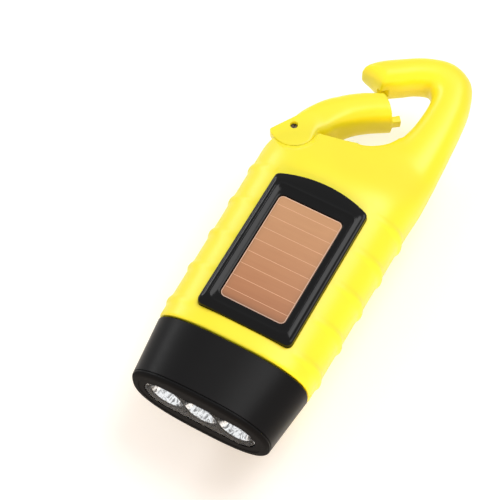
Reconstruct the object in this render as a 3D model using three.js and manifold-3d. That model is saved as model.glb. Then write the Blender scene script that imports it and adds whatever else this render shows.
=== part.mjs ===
// A hand crank flashlight with a solar panel and a carabiner hook, in millimetres.
// While it is built, the lens end is at y = 0, the case parts at z = 0, and the solar panel faces +Z.
// At the end the group is moved so that the crank arm lies on z = 0, centred under the part.

import * as THREE from "three";
import { mergeVertices } from "three/addons/utils/BufferGeometryUtils.js";
import Module from "manifold-3d";

const wasm = await Module();
wasm.setup();

// Fits shared by all the pieces
const seatGap = 0.1; // between a piece and the face that it sits on
const sideGap = 0.3; // between a fixed piece and the walls round it
const runGap = 0.08; // between a shaft's surface and its hole
const overrun = 2; // how far a cutter runs past the face that it cuts

// Case
const bodyHalfWidth = 23;
const bodyHalfThick = 11.4;
const shoulderFlare = 1.2;
const sideWall = 2;
const faceWall = 2.4;
const backWall = 2.2;
const bodySquareness = 3;
const shoulderLength = 10;
const frontWall = 1.7;
const hollowShare = 0.9; // of the shoulder's length
const hollowTaper = 2;
const hollowTaperLength = 4;
const ribCount = 5;
const ribLead = 5.5;
const ribTail = 3.7;
const ribLength = 2.4;
const ribHeight = 0.6;
const ribChamfer = 0.6;
const ribInset = 8;

// Head cap, lens and reflector
const capLength = 18.2;
const capRimInset = 2.3;
const capRimProud = 0.8;
const capRearInset = 0.1;
const capRearProud = 0.5;
const capSquareness = 2.6;
const capWall = 1.7;
const capEdgeRound = 1.3;
const faceStepIn = 2.3;
const faceStepDepth = 0.2;
const lensSideMargin = 3.9;
const lensRimWidth = 1.25;
const lensThick = 0.6;
const capWebThick = 0.5;
const neckLength = 8.8;
const neckWall = 1.7;
const cupMargin = 1.65;
const cupBridge = 0.3;
const cupWall = 1;
const cupDepth = 7;
const bowlShare = 0.5; // of the cup's depth
const ledRadius = 2.5;
const ledFlangeRadius = 2.9;
const ledFlangeThick = 1;
const ledLength = 6.4;
const ledBoardThick = 1.4;
const ledBoardHalfHeight = 4.4;
const ledBoardShare = 0.9;

// Solar panel
const frameSideInset = 8.9;
const frameLead = 5.5;
const frameTail = 2.4;
const frameArch = 3;
const frameCorner = 2.2;
const frameSeatDepth = 1.2;
const frameProud = 0.7;
const frameEdgeRound = 0.4;
const ridgeSideInset = 2.2;
const ridgeLead = 2.1;
const ridgeTail = 2.5;
const ridgeWidth = 0.5;
const ridgeProud = 1.6;
const cellSideInset = 2.2;
const cellLead = 2.55;
const cellTail = 3.05;
const cellCorner = 2;
const cellThick = 0.5;
const cellProud = 0.8;
const windowMargin = 0.35;

// Carabiner hook and gate
const clipLength = 46;
const hookHalfThick = 6.3;
const hookSquareness = 2.6;
const gateSquareness = 3;
const pinSideInset = 4.2;
const pinLead = 3.6;
const gatePinRadius = 1;
const gateReachShare = 0.6174; // of the clip's length
const gateTipGap = 0.3;
const gateHalfThick = 6.3;
const earRadius = 7;
const earTop = 6.9;
const earInner = 3.5;
const earPinSink = 0.6;
const nubReach = 2.7;
const nubWidth = 2.3;
const nubHalfThick = 1.5;
const nubLead = 0.8; // degrees past the inner corner of the gate's tip
const noseRound = 4;
const noseAngle = 66; // degrees from +X
const noseSweep = 20; // degrees to each side
const gateSweep = [-30, 110]; // degrees from +X
const lugTurns = 4; // running gaps between the lug and the gate
const pressedAngle = 20;
const gateSpringRadius = 2.2;
const gateSpringWire = 0.6;
const gateSpringTurns = 3;
const gateSpringPitch = 0.8;
const springLegAngles = { gate: 42, lug: -60 };
const springLegLean = 20; // degrees
const springWay = [25, 105]; // degrees from +X
const springSlot = [50, 72]; // degrees from +X
const springSlotDepth = 1;

// Crank
const crankShaftRadius = 2.5;
const crankJournalRadius = 1.5;
const crankFlat = 1.9;
const bushWall = 1.3;
const bushFlangeWidth = 1.4;
const bushFlangeThick = 0.3;
const bushOverhang = 0.6;
const crankBossRadius = 8.6;
const crankBossHeight = 0.7;
const armSweepGap = 0.8;
const armThick = 9;
const armHalfWidth = 7.5;
const hubRadius = 9;
const hingeLead = 12.5;
const armCornerRound = 1;
const crankScrewHeadRadius = 3.4;
const crankScrewHeadThick = 2;
const crankScrewRadius = 1.4;
const crankScrewLength = 5;
const armFloor = 2.6;
const knobHingeRadius = 3.6;
const knobPinRadius = 1.25;
const knobPostRadius = 1.9;
const knobRadius = 4.2;
const knobSideGap = 0.7;
const knobEndGap = 0.45;
const knobLength = 14;
const knobScrewHeadRadius = 3.3;
const knobScrewHeadThick = 1.2;
const knobGrooveDepth = 0.4;
const knobWaistShares = [0.3, 0.4, 0.6, 0.7]; // of the sleeve's length

// Gear train and dynamo
const wheelTeeth = 48;
const wheelToothSize = 0.6; // its pitch diameter over its teeth
const stepTeeth = 36;
const stepToothSize = 0.5;
const pinionTeeth = 12;
const pressureAngle = 20;
const toothSlack = 0.1;
const rootShare = 1.15; // of the tooth size
const wheelTipShare = 0.75; // of the tooth size
const pinionTipShare = 0.9; // of the tooth size
const wheelThick = 2.2;
const stepThick = 1.6;
const gearSpace = 0.55;
const wheelLift = 1.5;
const wheelLead = 1.8;
const trainFoldLength = 16; // how much shorter the train is for its turns
const pinionOverhang = 0.2;
const stepAngles = [115, 5, 120];
const axleRadius = 0.75;
const axleDepth = 0.9;
const axleBossRadius = 1.9;
const rotorShaftTail = 3;
const plateThick = 1.4;
const plateLead = 4.5;
const plateNearShoulder = 8;
const plateFarShoulder = 5;
const pillarRadius = 1.6;
const pillarFarInset = 10;
const pillarFarTail = 4;
const pillarRightInset = 7.2;
const pillarRightLead = 9;
const pillarLeftInset = 6.5;
const pillarLeftLead = 5;
const magnetRadius = 6.5;
const magnetThick = 5.2;
const magnetLift = 0.6;
const statorThick = 3.2;
const statorLift = 2.2;
const statorArm = 2.2;
const magnetAirGap = 0.5;
const statorBridge = 3;
const statorDrop = 18.2;
const statorInnerShare = 0.85; // of the magnet's radius, as the next three are
const statorTipShare = 0.9;
const footTopShare = 0.6;
const footLowShare = 1.6;
const footRadius = 1;
const bobbinWall = 0.6;
const windingThick = 1.1;
const bobbinFlange = 0.9;

// Board, cell and switch
const boardBottom = 2.6;
const boardThick = 1.4;
const boardSideMargin = 0.9;
const boardLead = 2;
const boardTailMargin = 0.3;
const boardPostInset = 2;
const cellRadius = 10;
const cellHeight = 3.2;
const holderWall = 0.8;
const holderShare = 0.9; // of the cell's height
const switchLead = 8.5;
const switchHalfWidth = 4.2;
const switchDepth = 7.5;
const plungerRadius = 1.7;
const plungerTravel = 1;
const plungerInside = 1.6;
const buttonRadius = 4.4;
const buttonProud = 1;
const buttonRound = 0.5;
const buttonFlangeWidth = 1;
const buttonFlangeThick = 0.8;
const buttonSpringRadius = 2.7;
const buttonSpringWire = 0.5;
const buttonSpringTurns = 3;

// Case screws
const screwRadius = 1.05;
const screwHeadRadius = 2.1;
const screwHeadThick = 1.5;
const screwBossRadius = 2.7;
const screwGrip = 5;
const screwTipRoom = 1;
const screwLead = 5.5;
const screwTail = 1.5;
const screwBoardMargin = 0.8;
const screwTailInset = 5;

// Facets
const sectionSteps = 11;
const capSteps = 28;
const roundSides = 16;
const smallSides = 8;
const holeSides = 16;
const wireSides = 4;
const coilSteps = 7; // to a turn
const postSides = 6;
const boreSides = 32;
const noseSteps = 16;
const gateSteps = 24;
const discSides = 24;
const ledSides = 12;
const ledDomeSteps = 3;
const bowlSteps = 3;
const stadiumSteps = 8; // to each end
const hookStations = 18;
const floorSteps = 18;
const shoulderSteps = 12;
const gateStations = 8;
const frameCornerSteps = 3;
const frameArchSteps = 4; // to each side of the middle
const armEndSteps = 10;
const springWaySteps = 6;
const nubSteps = 2;
const slotSteps = 4;

const degrees = Math.PI / 180;

// Places along the case, from the lens end. The case is as long as its switch and gear train need.
const wheelDistance = ((wheelTeeth + pinionTeeth) / 2) * wheelToothSize;
const stepDistance = ((stepTeeth + pinionTeeth) / 2) * stepToothSize;
const bodyStart = capLength + sideGap;
const switchY = bodyStart + switchLead;
const crankY = switchY + switchHalfWidth + wheelLead + (wheelTeeth / 2 + 1) * wheelToothSize;
const flatFaceEnd = crankY + wheelDistance + 2 * stepDistance - trainFoldLength;
const clipStart = flatFaceEnd + shoulderLength;
const totalLength = clipStart + clipLength;
const pinX = pinSideInset - bodyHalfWidth;
const pinY = clipStart + pinLead;
const gateReach = clipLength * gateReachShare;
const hingeY = flatFaceEnd + hingeLead;

// Cap, lens and solar panel, from the case's sizes
const capRimHalfWidth = bodyHalfWidth - capRimInset;
const capRimHalfThick = bodyHalfThick + capRimProud;
const capRearHalfWidth = bodyHalfWidth - capRearInset;
const capRearHalfThick = bodyHalfThick + capRearProud;
const lensHalfWidth = capRimHalfWidth - lensSideMargin;
const cupMouthRadius = (lensHalfWidth - cupMargin - cupBridge) / 3;
const lensHalfHeight = cupMouthRadius + lensRimWidth;
const ledPitch = 2 * cupMouthRadius + cupBridge;
const frameHalfWidth = bodyHalfWidth - frameSideInset;
const frameStart = bodyStart + frameLead;
const frameApex = flatFaceEnd - frameTail;
const frameSideEnd = frameApex - frameArch;
const frameEdgeTop = bodyHalfThick + frameProud;
const ridgeHalfWidth = frameHalfWidth - ridgeSideInset;
const ridgeStart = frameStart + ridgeLead;
const ridgeEnd = frameSideEnd - ridgeTail;
const ridgeTop = bodyHalfThick + ridgeProud;
const cellHalfWidth = ridgeHalfWidth - cellSideInset;
const cellStart = ridgeStart + cellLead;
const cellEnd = ridgeEnd - cellTail;
const cellTop = bodyHalfThick + cellProud;

// The cell sets the board's width, and the first two case screws stand beside the board.
const holderRadius = cellRadius + sideGap + holderWall;
const boardHalfWidth = holderRadius + boardSideMargin;
const screwLeadX = boardHalfWidth + screwBossRadius + screwBoardMargin;
const screwPlaces = [
  [screwLeadX, bodyStart + screwLead],
  [-screwLeadX, bodyStart + screwLead],
  [bodyHalfWidth - screwTailInset, flatFaceEnd - screwTail],
  [screwTailInset - bodyHalfWidth, flatFaceEnd - screwTail],
].map(([x, y]) => ({ x, y }));

// Materials
function plain(color, roughness, metalness = 0) {
  return new THREE.MeshStandardMaterial({ color, roughness, metalness });
}
const yellowPlastic = plain(0xfff03c, 0.42);
const blackPlastic = plain(0x262628, 0.5);
const glossBlack = plain(0x101012, 0.22);
const chromePlate = plain(0xe6e8ea, 0.08, 1);
const clearPlastic = new THREE.MeshStandardMaterial({
  color: 0xf4f8fa,
  roughness: 0.05,
  transparent: true,
  opacity: 0.3,
});
const ledEpoxy = plain(0xeef2ee, 0.15);
const copperCell = plain(0xcb9468, 0.4);
const boardGreen = plain(0x1f5a34, 0.5);
const steel = plain(0x9a9da1, 0.3, 1);
const brass = plain(0xb9985a, 0.35, 1);
const whiteNylon = plain(0xe8e4d8, 0.5);
const magnetBlack = plain(0x3a3a3c, 0.5, 0.4);
const copperWire = plain(0xa5552c, 0.4, 0.8);

// Solids

// Turns a closed three.js geometry into a solid, with its faces out.
function solidOf(geometry) {
  const bare = geometry.clone();
  bare.deleteAttribute("normal");
  bare.deleteAttribute("uv");
  const merged = mergeVertices(bare, 1e-4);
  const at = merged.attributes.position.array;
  const kept = [];
  const index = merged.index.array;
  for (let i = 0; i < index.length; i += 3) {
    const [a, b, c] = [index[i], index[i + 1], index[i + 2]];
    if (a !== b && b !== c && c !== a) kept.push(a, b, c);
  }
  if (signedVolume(at, kept) < 0) {
    for (let i = 0; i < kept.length; i += 3) {
      [kept[i + 1], kept[i + 2]] = [kept[i + 2], kept[i + 1]];
    }
  }
  return new wasm.Manifold(
    new wasm.Mesh({ numProp: 3, vertProperties: at, triVerts: new Uint32Array(kept) }),
  );
}

function signedVolume(at, index) {
  const [a, b, c] = [new THREE.Vector3(), new THREE.Vector3(), new THREE.Vector3()];
  let six = 0;
  for (let i = 0; i < index.length; i += 3) {
    a.fromArray(at, 3 * index[i]);
    b.fromArray(at, 3 * index[i + 1]);
    c.fromArray(at, 3 * index[i + 2]);
    six += a.dot(b.cross(c));
  }
  return six;
}

const flashlight = new THREE.Group();

// Adds a solid to the flashlight as a named mesh.
function addPiece(name, solid, material) {
  const { vertProperties, triVerts } = solid.getMesh();
  const geometry = new THREE.BufferGeometry();
  geometry.setAttribute("position", new THREE.BufferAttribute(vertProperties, 3));
  geometry.setIndex(new THREE.BufferAttribute(triVerts, 1));
  geometry.computeVertexNormals();
  const mesh = new THREE.Mesh(geometry, material);
  mesh.name = name;
  flashlight.add(mesh);
  return mesh;
}

function joined(...solids) {
  return solids.reduce((all, next) => all.add(next));
}

function box(x0, x1, y0, y1, z0, z1) {
  const geometry = new THREE.BoxGeometry(x1 - x0, y1 - y0, z1 - z0);
  geometry.translate((x0 + x1) / 2, (y0 + y1) / 2, (z0 + z1) / 2);
  return solidOf(geometry);
}

// A cylinder along Z.
function rod(x, y, z0, z1, radius, sides = roundSides) {
  const geometry = new THREE.CylinderGeometry(radius, radius, z1 - z0, sides);
  geometry.rotateX(Math.PI / 2);
  geometry.translate(x, y, (z0 + z1) / 2);
  return solidOf(geometry);
}

// A cylinder along Y.
function rodY(x, z, y0, y1, radius, sides = roundSides) {
  const geometry = new THREE.CylinderGeometry(radius, radius, y1 - y0, sides);
  geometry.translate(x, (y0 + y1) / 2, z);
  return solidOf(geometry);
}

// A cylinder along X.
function rodX(y, z, x0, x1, radius, sides = roundSides) {
  const geometry = new THREE.CylinderGeometry(radius, radius, x1 - x0, sides);
  geometry.rotateZ(Math.PI / 2);
  geometry.translate((x0 + x1) / 2, y, z);
  return solidOf(geometry);
}

// An outline in X and Y, given as [x, y] points, between two heights.
function prism(outline, z0, z1) {
  const shape = new THREE.Shape(outline.map(([x, y]) => new THREE.Vector2(x, y)));
  const geometry = new THREE.ExtrudeGeometry(shape, { depth: z1 - z0, bevelEnabled: false });
  geometry.translate(0, 0, z0);
  return solidOf(geometry);
}

// An outline in X and Z between two places along Y.
function prismY(outline, y0, y1) {
  const shape = new THREE.Shape(outline.map(([x, z]) => new THREE.Vector2(x, z)));
  const geometry = new THREE.ExtrudeGeometry(shape, { depth: y1 - y0, bevelEnabled: false });
  geometry.rotateX(Math.PI / 2);
  geometry.translate(0, y1, 0);
  return solidOf(geometry);
}

// A profile of [radius, height] points turned about the Z axis through x and y.
function turned(profile, x, y, sides = roundSides) {
  const points = profile.map(([r, z]) => new THREE.Vector2(r, z));
  const geometry = new THREE.LatheGeometry(points, sides);
  geometry.rotateX(Math.PI / 2);
  geometry.translate(x, y, 0);
  return solidOf(geometry);
}

// A skin over rings of as many points each, closed by flat ends, or end to end for a closed band.
function loft(rings, band = false) {
  const count = rings[0].length;
  const places = rings.flat().flatMap((p) => [p.x, p.y, p.z]);
  const index = [];
  const last = band ? rings.length : rings.length - 1;
  for (let r = 0; r < last; r += 1) {
    const next = (r + 1) % rings.length;
    for (let i = 0; i < count; i += 1) {
      const j = (i + 1) % count;
      const [a, b, c, d] = [r * count + i, r * count + j, next * count + j, next * count + i];
      index.push(a, b, c, a, c, d);
    }
  }
  if (!band) {
    const end = (rings.length - 1) * count;
    for (let i = 1; i < count - 1; i += 1) {
      index.push(0, i + 1, i);
      index.push(end, end + i, end + i + 1);
    }
  }
  const geometry = new THREE.BufferGeometry();
  geometry.setAttribute("position", new THREE.Float32BufferAttribute(places, 3));
  geometry.setIndex(index);
  return solidOf(geometry);
}

// A tube of a few sides along points in space, for springs and wires.
function tube(points, radius, sides) {
  const tangents = points.map((p, i) => {
    const before = points[Math.max(i - 1, 0)];
    const after = points[Math.min(i + 1, points.length - 1)];
    return after.clone().sub(before).normalize();
  });
  let side = new THREE.Vector3(0, 0, 1);
  const rings = points.map((p, i) => {
    side.addScaledVector(tangents[i], -side.dot(tangents[i])).normalize();
    const other = tangents[i].clone().cross(side);
    return Array.from({ length: sides }, (_, k) => {
      const turn = (2 * Math.PI * k) / sides;
      const reach = side.clone().multiplyScalar(radius * Math.cos(turn));
      return p.clone().add(reach).addScaledVector(other, radius * Math.sin(turn));
    });
  });
  return loft(rings);
}

// Sections

// A point of a squared ellipse, at an angle in radians.
function superellipse(halfWidth, halfHeight, squareness, angle) {
  const [c, s] = [Math.cos(angle), Math.sin(angle)];
  const power = 2 / squareness;
  return [
    halfWidth * Math.sign(c) * Math.abs(c) ** power,
    halfHeight * Math.sign(s) * Math.abs(s) ** power,
  ];
}

// Height of a squared ellipse over a place across it.
function sectionHeight(halfWidth, halfHeight, squareness, x) {
  const share = Math.min(Math.abs(x) / halfWidth, 1);
  return halfHeight * (1 - share ** squareness) ** (1 / squareness);
}

// Reads a value between [place, value] rows.
function along(rows, place) {
  if (place <= rows[0][0]) return rows[0][1];
  for (let i = 1; i < rows.length; i += 1) {
    const [from, low] = rows[i - 1];
    const [to, high] = rows[i];
    if (place <= to) return low + ((high - low) * (place - from)) / (to - from);
  }
  return rows[rows.length - 1][1];
}

// Shares of the case's half thickness and flare at shares of the way down its slope
const slopeClipShare = 0.35; // of the clip's length
const slopeLength = shoulderLength + clipLength * slopeClipShare;
const thickShares = [
  [0, 1],
  [0.15, 0.965],
  [0.31, 0.87],
  [0.46, 0.765],
  [0.61, 0.675],
  [0.76, 0.585],
  [0.88, 0.46],
  [1, 0.3],
];
const fullFlareShare = 0.6; // of the flare, at the end of the flat face
const widthShares = [
  [0, fullFlareShare],
  [0.31, 1],
  [0.46, 1],
  [0.76, 0.8],
  [0.88, 0.2],
  [1, -2],
];

function bodyThickness(y) {
  return bodyHalfThick * along(thickShares, (y - flatFaceEnd) / slopeLength);
}

function bodyWidth(y) {
  if (y <= flatFaceEnd) {
    const way = (y - bodyStart) / (flatFaceEnd - bodyStart);
    return bodyHalfWidth + shoulderFlare * fullFlareShare * way;
  }
  return bodyHalfWidth + shoulderFlare * along(widthShares, (y - flatFaceEnd) / slopeLength);
}

// Half of a section across the case: side 1 is the front half, side -1 the back half.
function halfSection(y, halfWidth, halfThick, squareness, side) {
  return Array.from({ length: sectionSteps + 1 }, (_, i) => {
    const angle = (Math.PI * i) / sectionSteps;
    const [x, z] = superellipse(halfWidth, halfThick, squareness, angle);
    const flat = i === 0 || i === sectionSteps;
    return new THREE.Vector3(x, y, flat ? 0 : side * z);
  });
}

const bodyStations = [bodyStart, flatFaceEnd].concat(
  thickShares.slice(1).map(([share]) => flatFaceEnd + share * slopeLength),
);

function bodyHalf(side) {
  return loft(
    bodyStations.map((y) =>
      halfSection(y, bodyWidth(y), bodyThickness(y), bodySquareness, side),
    ),
  );
}

// Head cap

function capWidth(y) {
  return capRimHalfWidth + ((capRearHalfWidth - capRimHalfWidth) * y) / capLength;
}

function capThickness(y) {
  return capRimHalfThick + ((capRearHalfThick - capRimHalfThick) * y) / capLength;
}

function capRing(y, inset) {
  return Array.from({ length: capSteps }, (_, i) => {
    const angle = (2 * Math.PI * i) / capSteps;
    const [halfWidth, halfThick] = [capWidth(y) - inset, capThickness(y) - inset];
    const [x, z] = superellipse(halfWidth, halfThick, capSquareness, angle);
    return new THREE.Vector3(x, y, z);
  });
}

// A bar with round ends across X, as an outline in X and Z.
function stadium(halfWidth, halfHeight) {
  const outline = [];
  for (const side of [1, -1]) {
    for (let i = 0; i <= stadiumSteps; i += 1) {
      const angle = (Math.PI * i) / stadiumSteps - (side * Math.PI) / 2;
      outline.push([
        side * (halfWidth - halfHeight) + halfHeight * Math.cos(angle),
        halfHeight * Math.sin(angle),
      ]);
    }
  }
  return outline;
}

const ledXs = [-ledPitch, 0, ledPitch];
const lensSeat = faceStepDepth + lensThick;
const capWebEnd = lensSeat + capWebThick;

function headCap() {
  const round = capEdgeRound;
  const drop = round * (1 - Math.sin(Math.PI / 3));
  const outer = loft([
    capRing(0, round),
    capRing(drop, drop),
    capRing(round, 0),
    capRing(capLength - round / 2, 0),
    capRing(capLength, round / 4),
  ]);
  const inside = loft([capRing(capWebEnd, capWall), capRing(capLength + overrun, capWall)]);
  const step = loft([capRing(-overrun, faceStepIn), capRing(faceStepDepth, faceStepIn)]);
  const seat = prismY(stadium(lensHalfWidth, lensHalfHeight), 0, lensSeat);
  const holes = ledXs.map((x) => rodY(x, 0, lensSeat - overrun, capWebEnd + overrun, cupMouthRadius));
  return [inside, step, seat, ...holes].reduce((cap, cut) => cap.subtract(cut), outer);
}

function frontLens() {
  const outline = stadium(lensHalfWidth - sideGap, lensHalfHeight - sideGap);
  return prismY(outline, faceStepDepth, lensSeat - seatGap);
}

// The plated block, with a bowl for each LED.
const reflectorStart = capWebEnd + seatGap;
const reflectorEnd = reflectorStart + cupDepth;
const ledHoleRadius = ledRadius + runGap;

function reflector() {
  const block = prismY(
    stadium(ledPitch + cupMouthRadius + cupWall, cupMouthRadius + cupWall),
    reflectorStart,
    reflectorEnd,
  );
  return ledXs.reduce((solid, x) => {
    const bowl = [[0, -overrun]];
    bowl.push([cupMouthRadius, -overrun], [cupMouthRadius, 0]);
    for (let i = 1; i <= bowlSteps; i += 1) {
      const way = i / bowlSteps;
      const square = cupMouthRadius ** 2 + (ledHoleRadius ** 2 - cupMouthRadius ** 2) * way;
      bowl.push([Math.sqrt(square), cupDepth * bowlShare * way]);
    }
    bowl.push([ledHoleRadius, cupDepth + overrun], [0, cupDepth + overrun]);
    const points = bowl.map(([r, h]) => new THREE.Vector2(r, h));
    const geometry = new THREE.LatheGeometry(points, roundSides);
    geometry.translate(x, reflectorStart, 0);
    return solid.subtract(solidOf(geometry));
  }, block);
}

const ledBase = reflectorEnd + seatGap + ledFlangeThick;
const ledTip = ledBase - ledLength;

function led(x) {
  const dome = [[0, 0]];
  for (let i = 1; i <= ledDomeSteps; i += 1) {
    const angle = (Math.PI / 2) * (i / ledDomeSteps);
    dome.push([ledRadius * Math.sin(angle), ledRadius * (1 - Math.cos(angle))]);
  }
  dome.push([ledRadius, ledLength - ledFlangeThick]);
  dome.push([ledFlangeRadius, ledLength - ledFlangeThick]);
  dome.push([ledFlangeRadius, ledLength], [0, ledLength]);
  const points = dome.map(([r, h]) => new THREE.Vector2(r, h));
  const geometry = new THREE.LatheGeometry(points, ledSides);
  geometry.translate(x, ledTip, 0);
  return solidOf(geometry);
}

// Neck of the case, which the cap slides over
const neckStart = capLength - neckLength;
const neckInset = capWall + sideGap;

function neckHalf(side) {
  const ends = [neckStart, bodyStart + sideGap];
  return loft(
    ends.map((y) => {
      const halfWidth = capWidth(y) - neckInset;
      return halfSection(y, halfWidth, capThickness(y) - neckInset, capSquareness, side);
    }),
  );
}

function neckHollow(side, wall) {
  const ends = [neckStart - overrun, bodyStart + 2 * overrun];
  return loft(
    ends.map((y) => {
      const halfWidth = capWidth(neckStart) - neckInset - neckWall;
      const halfThick = Math.min(capThickness(y) - neckInset - neckWall, bodyHalfThick - wall);
      return halfSection(y, halfWidth, halfThick, capSquareness, side);
    }),
  );
}

const ledBoardHalfWidth = capWidth(neckStart) - neckInset - neckWall - sideGap;

function ledBoard() {
  const y0 = ledBase + seatGap;
  return box(
    -ledBoardHalfWidth * ledBoardShare,
    ledBoardHalfWidth * ledBoardShare,
    y0,
    y0 + ledBoardThick,
    -ledBoardHalfHeight,
    ledBoardHalfHeight,
  );
}

// Hollow of the case behind the neck
const hollowEnd = flatFaceEnd + shoulderLength * hollowShare;

function bodyHollow(side, wall) {
  const places = [bodyStart + frontWall, flatFaceEnd, hollowEnd - hollowTaperLength, hollowEnd];
  return loft(
    places.map((y, i) => {
      const taper = i === places.length - 1 ? hollowTaper : 0;
      return halfSection(
        y,
        bodyWidth(y) - sideWall - taper,
        bodyThickness(y) - wall,
        bodySquareness,
        side,
      );
    }),
  );
}

// Grip ribs on one half of the case, on both sides
function ribs(side) {
  const first = bodyStart + ribLead;
  const pitch = (flatFaceEnd - ribTail - first) / (ribCount - 1);
  const all = Array.from({ length: ribCount }, (_, i) => {
    const y = first + i * pitch;
    const shape = [
      [-ribLength / 2, 0],
      [-ribLength / 2 + ribChamfer, ribHeight],
      [ribLength / 2 - ribChamfer, ribHeight],
      [ribLength / 2, 0],
    ];
    return loft(
      shape.map(([dy, proud]) => {
        const halfWidth = bodyWidth(y + dy) + proud;
        return halfSection(y + dy, halfWidth, bodyThickness(y + dy), bodySquareness, side);
      }),
    );
  });
  const inner = bodyHalfWidth - ribInset;
  const middle = box(-inner, inner, 0, totalLength, -bodyHalfThick, bodyHalfThick);
  return all.reduce((sum, rib) => sum.add(rib)).subtract(middle);
}

// Carabiner hook: two edges, as shares of the body's half width and of the clip's length
const hookOuterShares = [
  [1.043, -0.109],
  [1.048, 0.087],
  [1.039, 0.239],
  [1.017, 0.437],
  [0.996, 0.593],
  [0.948, 0.767],
  [0.813, 0.926],
  [0.522, 0.998],
  [0.183, 0.963],
  [-0.1, 0.883],
  [-0.387, 0.778],
  [-0.491, 0.702],
  [-0.47, 0.6],
];
const hookInnerShares = [
  [0.174, -0.109],
  [0.239, 0.109],
  [0.339, 0.272],
  [0.435, 0.446],
  [0.465, 0.565],
  [0.465, 0.687],
  [0.43, 0.741],
  [0.352, 0.77],
  [0.2, 0.743],
  [0.065, 0.693],
  [-0.1, 0.635],
  [-0.161, 0.596],
  [-0.178, 0.539],
];

function clipPoint([acrossShare, alongShare]) {
  return new THREE.Vector3(bodyHalfWidth * acrossShare, clipStart + clipLength * alongShare, 0);
}

function curveOf(points) {
  return new THREE.CatmullRomCurve3(points, false, "centripetal");
}

// A bar with squared round sections between two edge curves. half is 1 or -1, or 0 for both.
function bar(outer, inner, halfThick, squareness, stations, half) {
  const steps = half === 0 ? 2 * (sectionSteps - 3) : sectionSteps - 1;
  const sweep = half === 0 ? 2 * Math.PI : Math.PI;
  const count = half === 0 ? steps : steps + 1;
  const rings = Array.from({ length: stations + 1 }, (_, k) => {
    const o = outer.getPoint(k / stations);
    const n = inner.getPoint(k / stations);
    const middle = o.clone().add(n).multiplyScalar(1 / 2);
    const reach = o.clone().sub(n).multiplyScalar(1 / 2);
    return Array.from({ length: count }, (__, i) => {
      const [w, h] = superellipse(1, halfThick, squareness, (sweep * i) / steps);
      const flat = half !== 0 && (i === 0 || i === steps);
      const z = half === 0 ? h : half * h;
      return middle.clone().addScaledVector(reach, w).setZ(flat ? 0 : z);
    });
  });
  return loft(rings);
}

function hookHalf(side) {
  const outer = curveOf(hookOuterShares.map(clipPoint));
  const inner = curveOf(hookInnerShares.map(clipPoint));
  const whole = bar(outer, inner, hookHalfThick, hookSquareness, hookStations, side);
  return noseCuts(side).reduce((hook, cut) => hook.subtract(cut), whole);
}

// Floor of the loop, from the gate's side to the arm of the hook
const loopFloorShares = [
  [-0.461, 0.087],
  [-0.37, 0.094],
  [-0.157, 0.111],
  [-0.026, 0.12],
  [0.13, 0.154],
  [0.217, 0.193],
  [0.287, 0.243],
  [0.343, 0.304],
  [0.387, 0.37],
];

function loopCutter() {
  const floor = curveOf(loopFloorShares.map(clipPoint)).getPoints(floorSteps);
  const [first, lastPoint] = [floor[0], floor[floor.length - 1]];
  const outline = floor.map((p) => [p.x, p.y]);
  outline.push([lastPoint.x, totalLength], [-2 * bodyHalfWidth, totalLength]);
  outline.push([-2 * bodyHalfWidth, pinY], [pinX, pinY], [first.x - sideGap, pinY]);
  return prism(outline, -bodyHalfThick - overrun, bodyHalfThick + overrun);
}

const lugRadius = earRadius - runGap * lugTurns;
const lugHalfThick = earInner - sideGap;

// The rounded left shoulder, which runs into the gate's outer edge when the gate is closed.
const shoulderShares = [
  [-1.04, -0.26],
  [-1.035, -0.2],
  [-1.015, -0.14],
  [-0.985, -0.09],
  [-0.95, -0.05],
  [-0.925, 0.02],
  [-0.91, 0.12],
];

function shoulderCutter() {
  const edge = curveOf(shoulderShares.map(clipPoint)).getPoints(shoulderSteps);
  const outline = edge.map((p) => [p.x, p.y]);
  const far = -2 * bodyHalfWidth;
  outline.push([far, edge[edge.length - 1].y], [far, edge[0].y]);
  return prism(outline, -bodyHalfThick - overrun, bodyHalfThick + overrun);
}

// Where the gate's ears turn in the case
function earRecess(side) {
  const reach = side * (bodyHalfThick + overrun);
  const [z0, z1] = [side * lugHalfThick, reach].sort((a, b) => a - b);
  return rod(pinX, pinY, z0, z1, earRadius + sideGap, discSides);
}

function lug(side) {
  const [z0, z1] = [0, side * lugHalfThick].sort((a, b) => a - b);
  return rod(pinX, pinY, z0, z1, lugRadius, roundSides);
}

// Gate, at the pressed pose: two edges in the hook's shares
const gateOuterShares = [
  [-1.0088, -0.0032],
  [-0.9088, 0.0955],
  [-0.8038, 0.2283],
  [-0.6914, 0.3369],
  [-0.5309, 0.4326],
  [-0.3482, 0.4999],
  [-0.1864, 0.5413],
  [0.0223, 0.6067],
];
const gateInnerShares = [
  [-0.5914, -0.0434],
  [-0.5309, 0.098],
  [-0.4482, 0.1369],
  [-0.3432, 0.2369],
  [-0.1827, 0.3197],
  [-0.0395, 0.3758],
  [0.0865, 0.4154],
  [0.2569, 0.4586],
];

// Slot in the hook's nose for the nub on the gate's tip
const gateCorner = clipPoint(gateInnerShares[gateInnerShares.length - 1]);
const nubStart = Math.atan2(gateCorner.y - pinY, gateCorner.x - pinX) / degrees + nubLead;
const noseRadius = gateReach + gateTipGap;
const nubRadius = gateReach + nubReach;
const nubAngle = nubWidth / nubRadius / degrees;
const nubClosedStart = nubStart + pressedAngle;

function polar(radius, angle) {
  return [pinX + radius * Math.cos(angle * degrees), pinY + radius * Math.sin(angle * degrees)];
}

function ringSector(r0, r1, a0, a1, steps) {
  const outline = [];
  for (let i = 0; i <= steps; i += 1) outline.push(polar(r0, a0 + ((a1 - a0) * i) / steps));
  for (let i = steps; i >= 0; i -= 1) outline.push(polar(r1, a0 + ((a1 - a0) * i) / steps));
  return outline;
}

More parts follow.
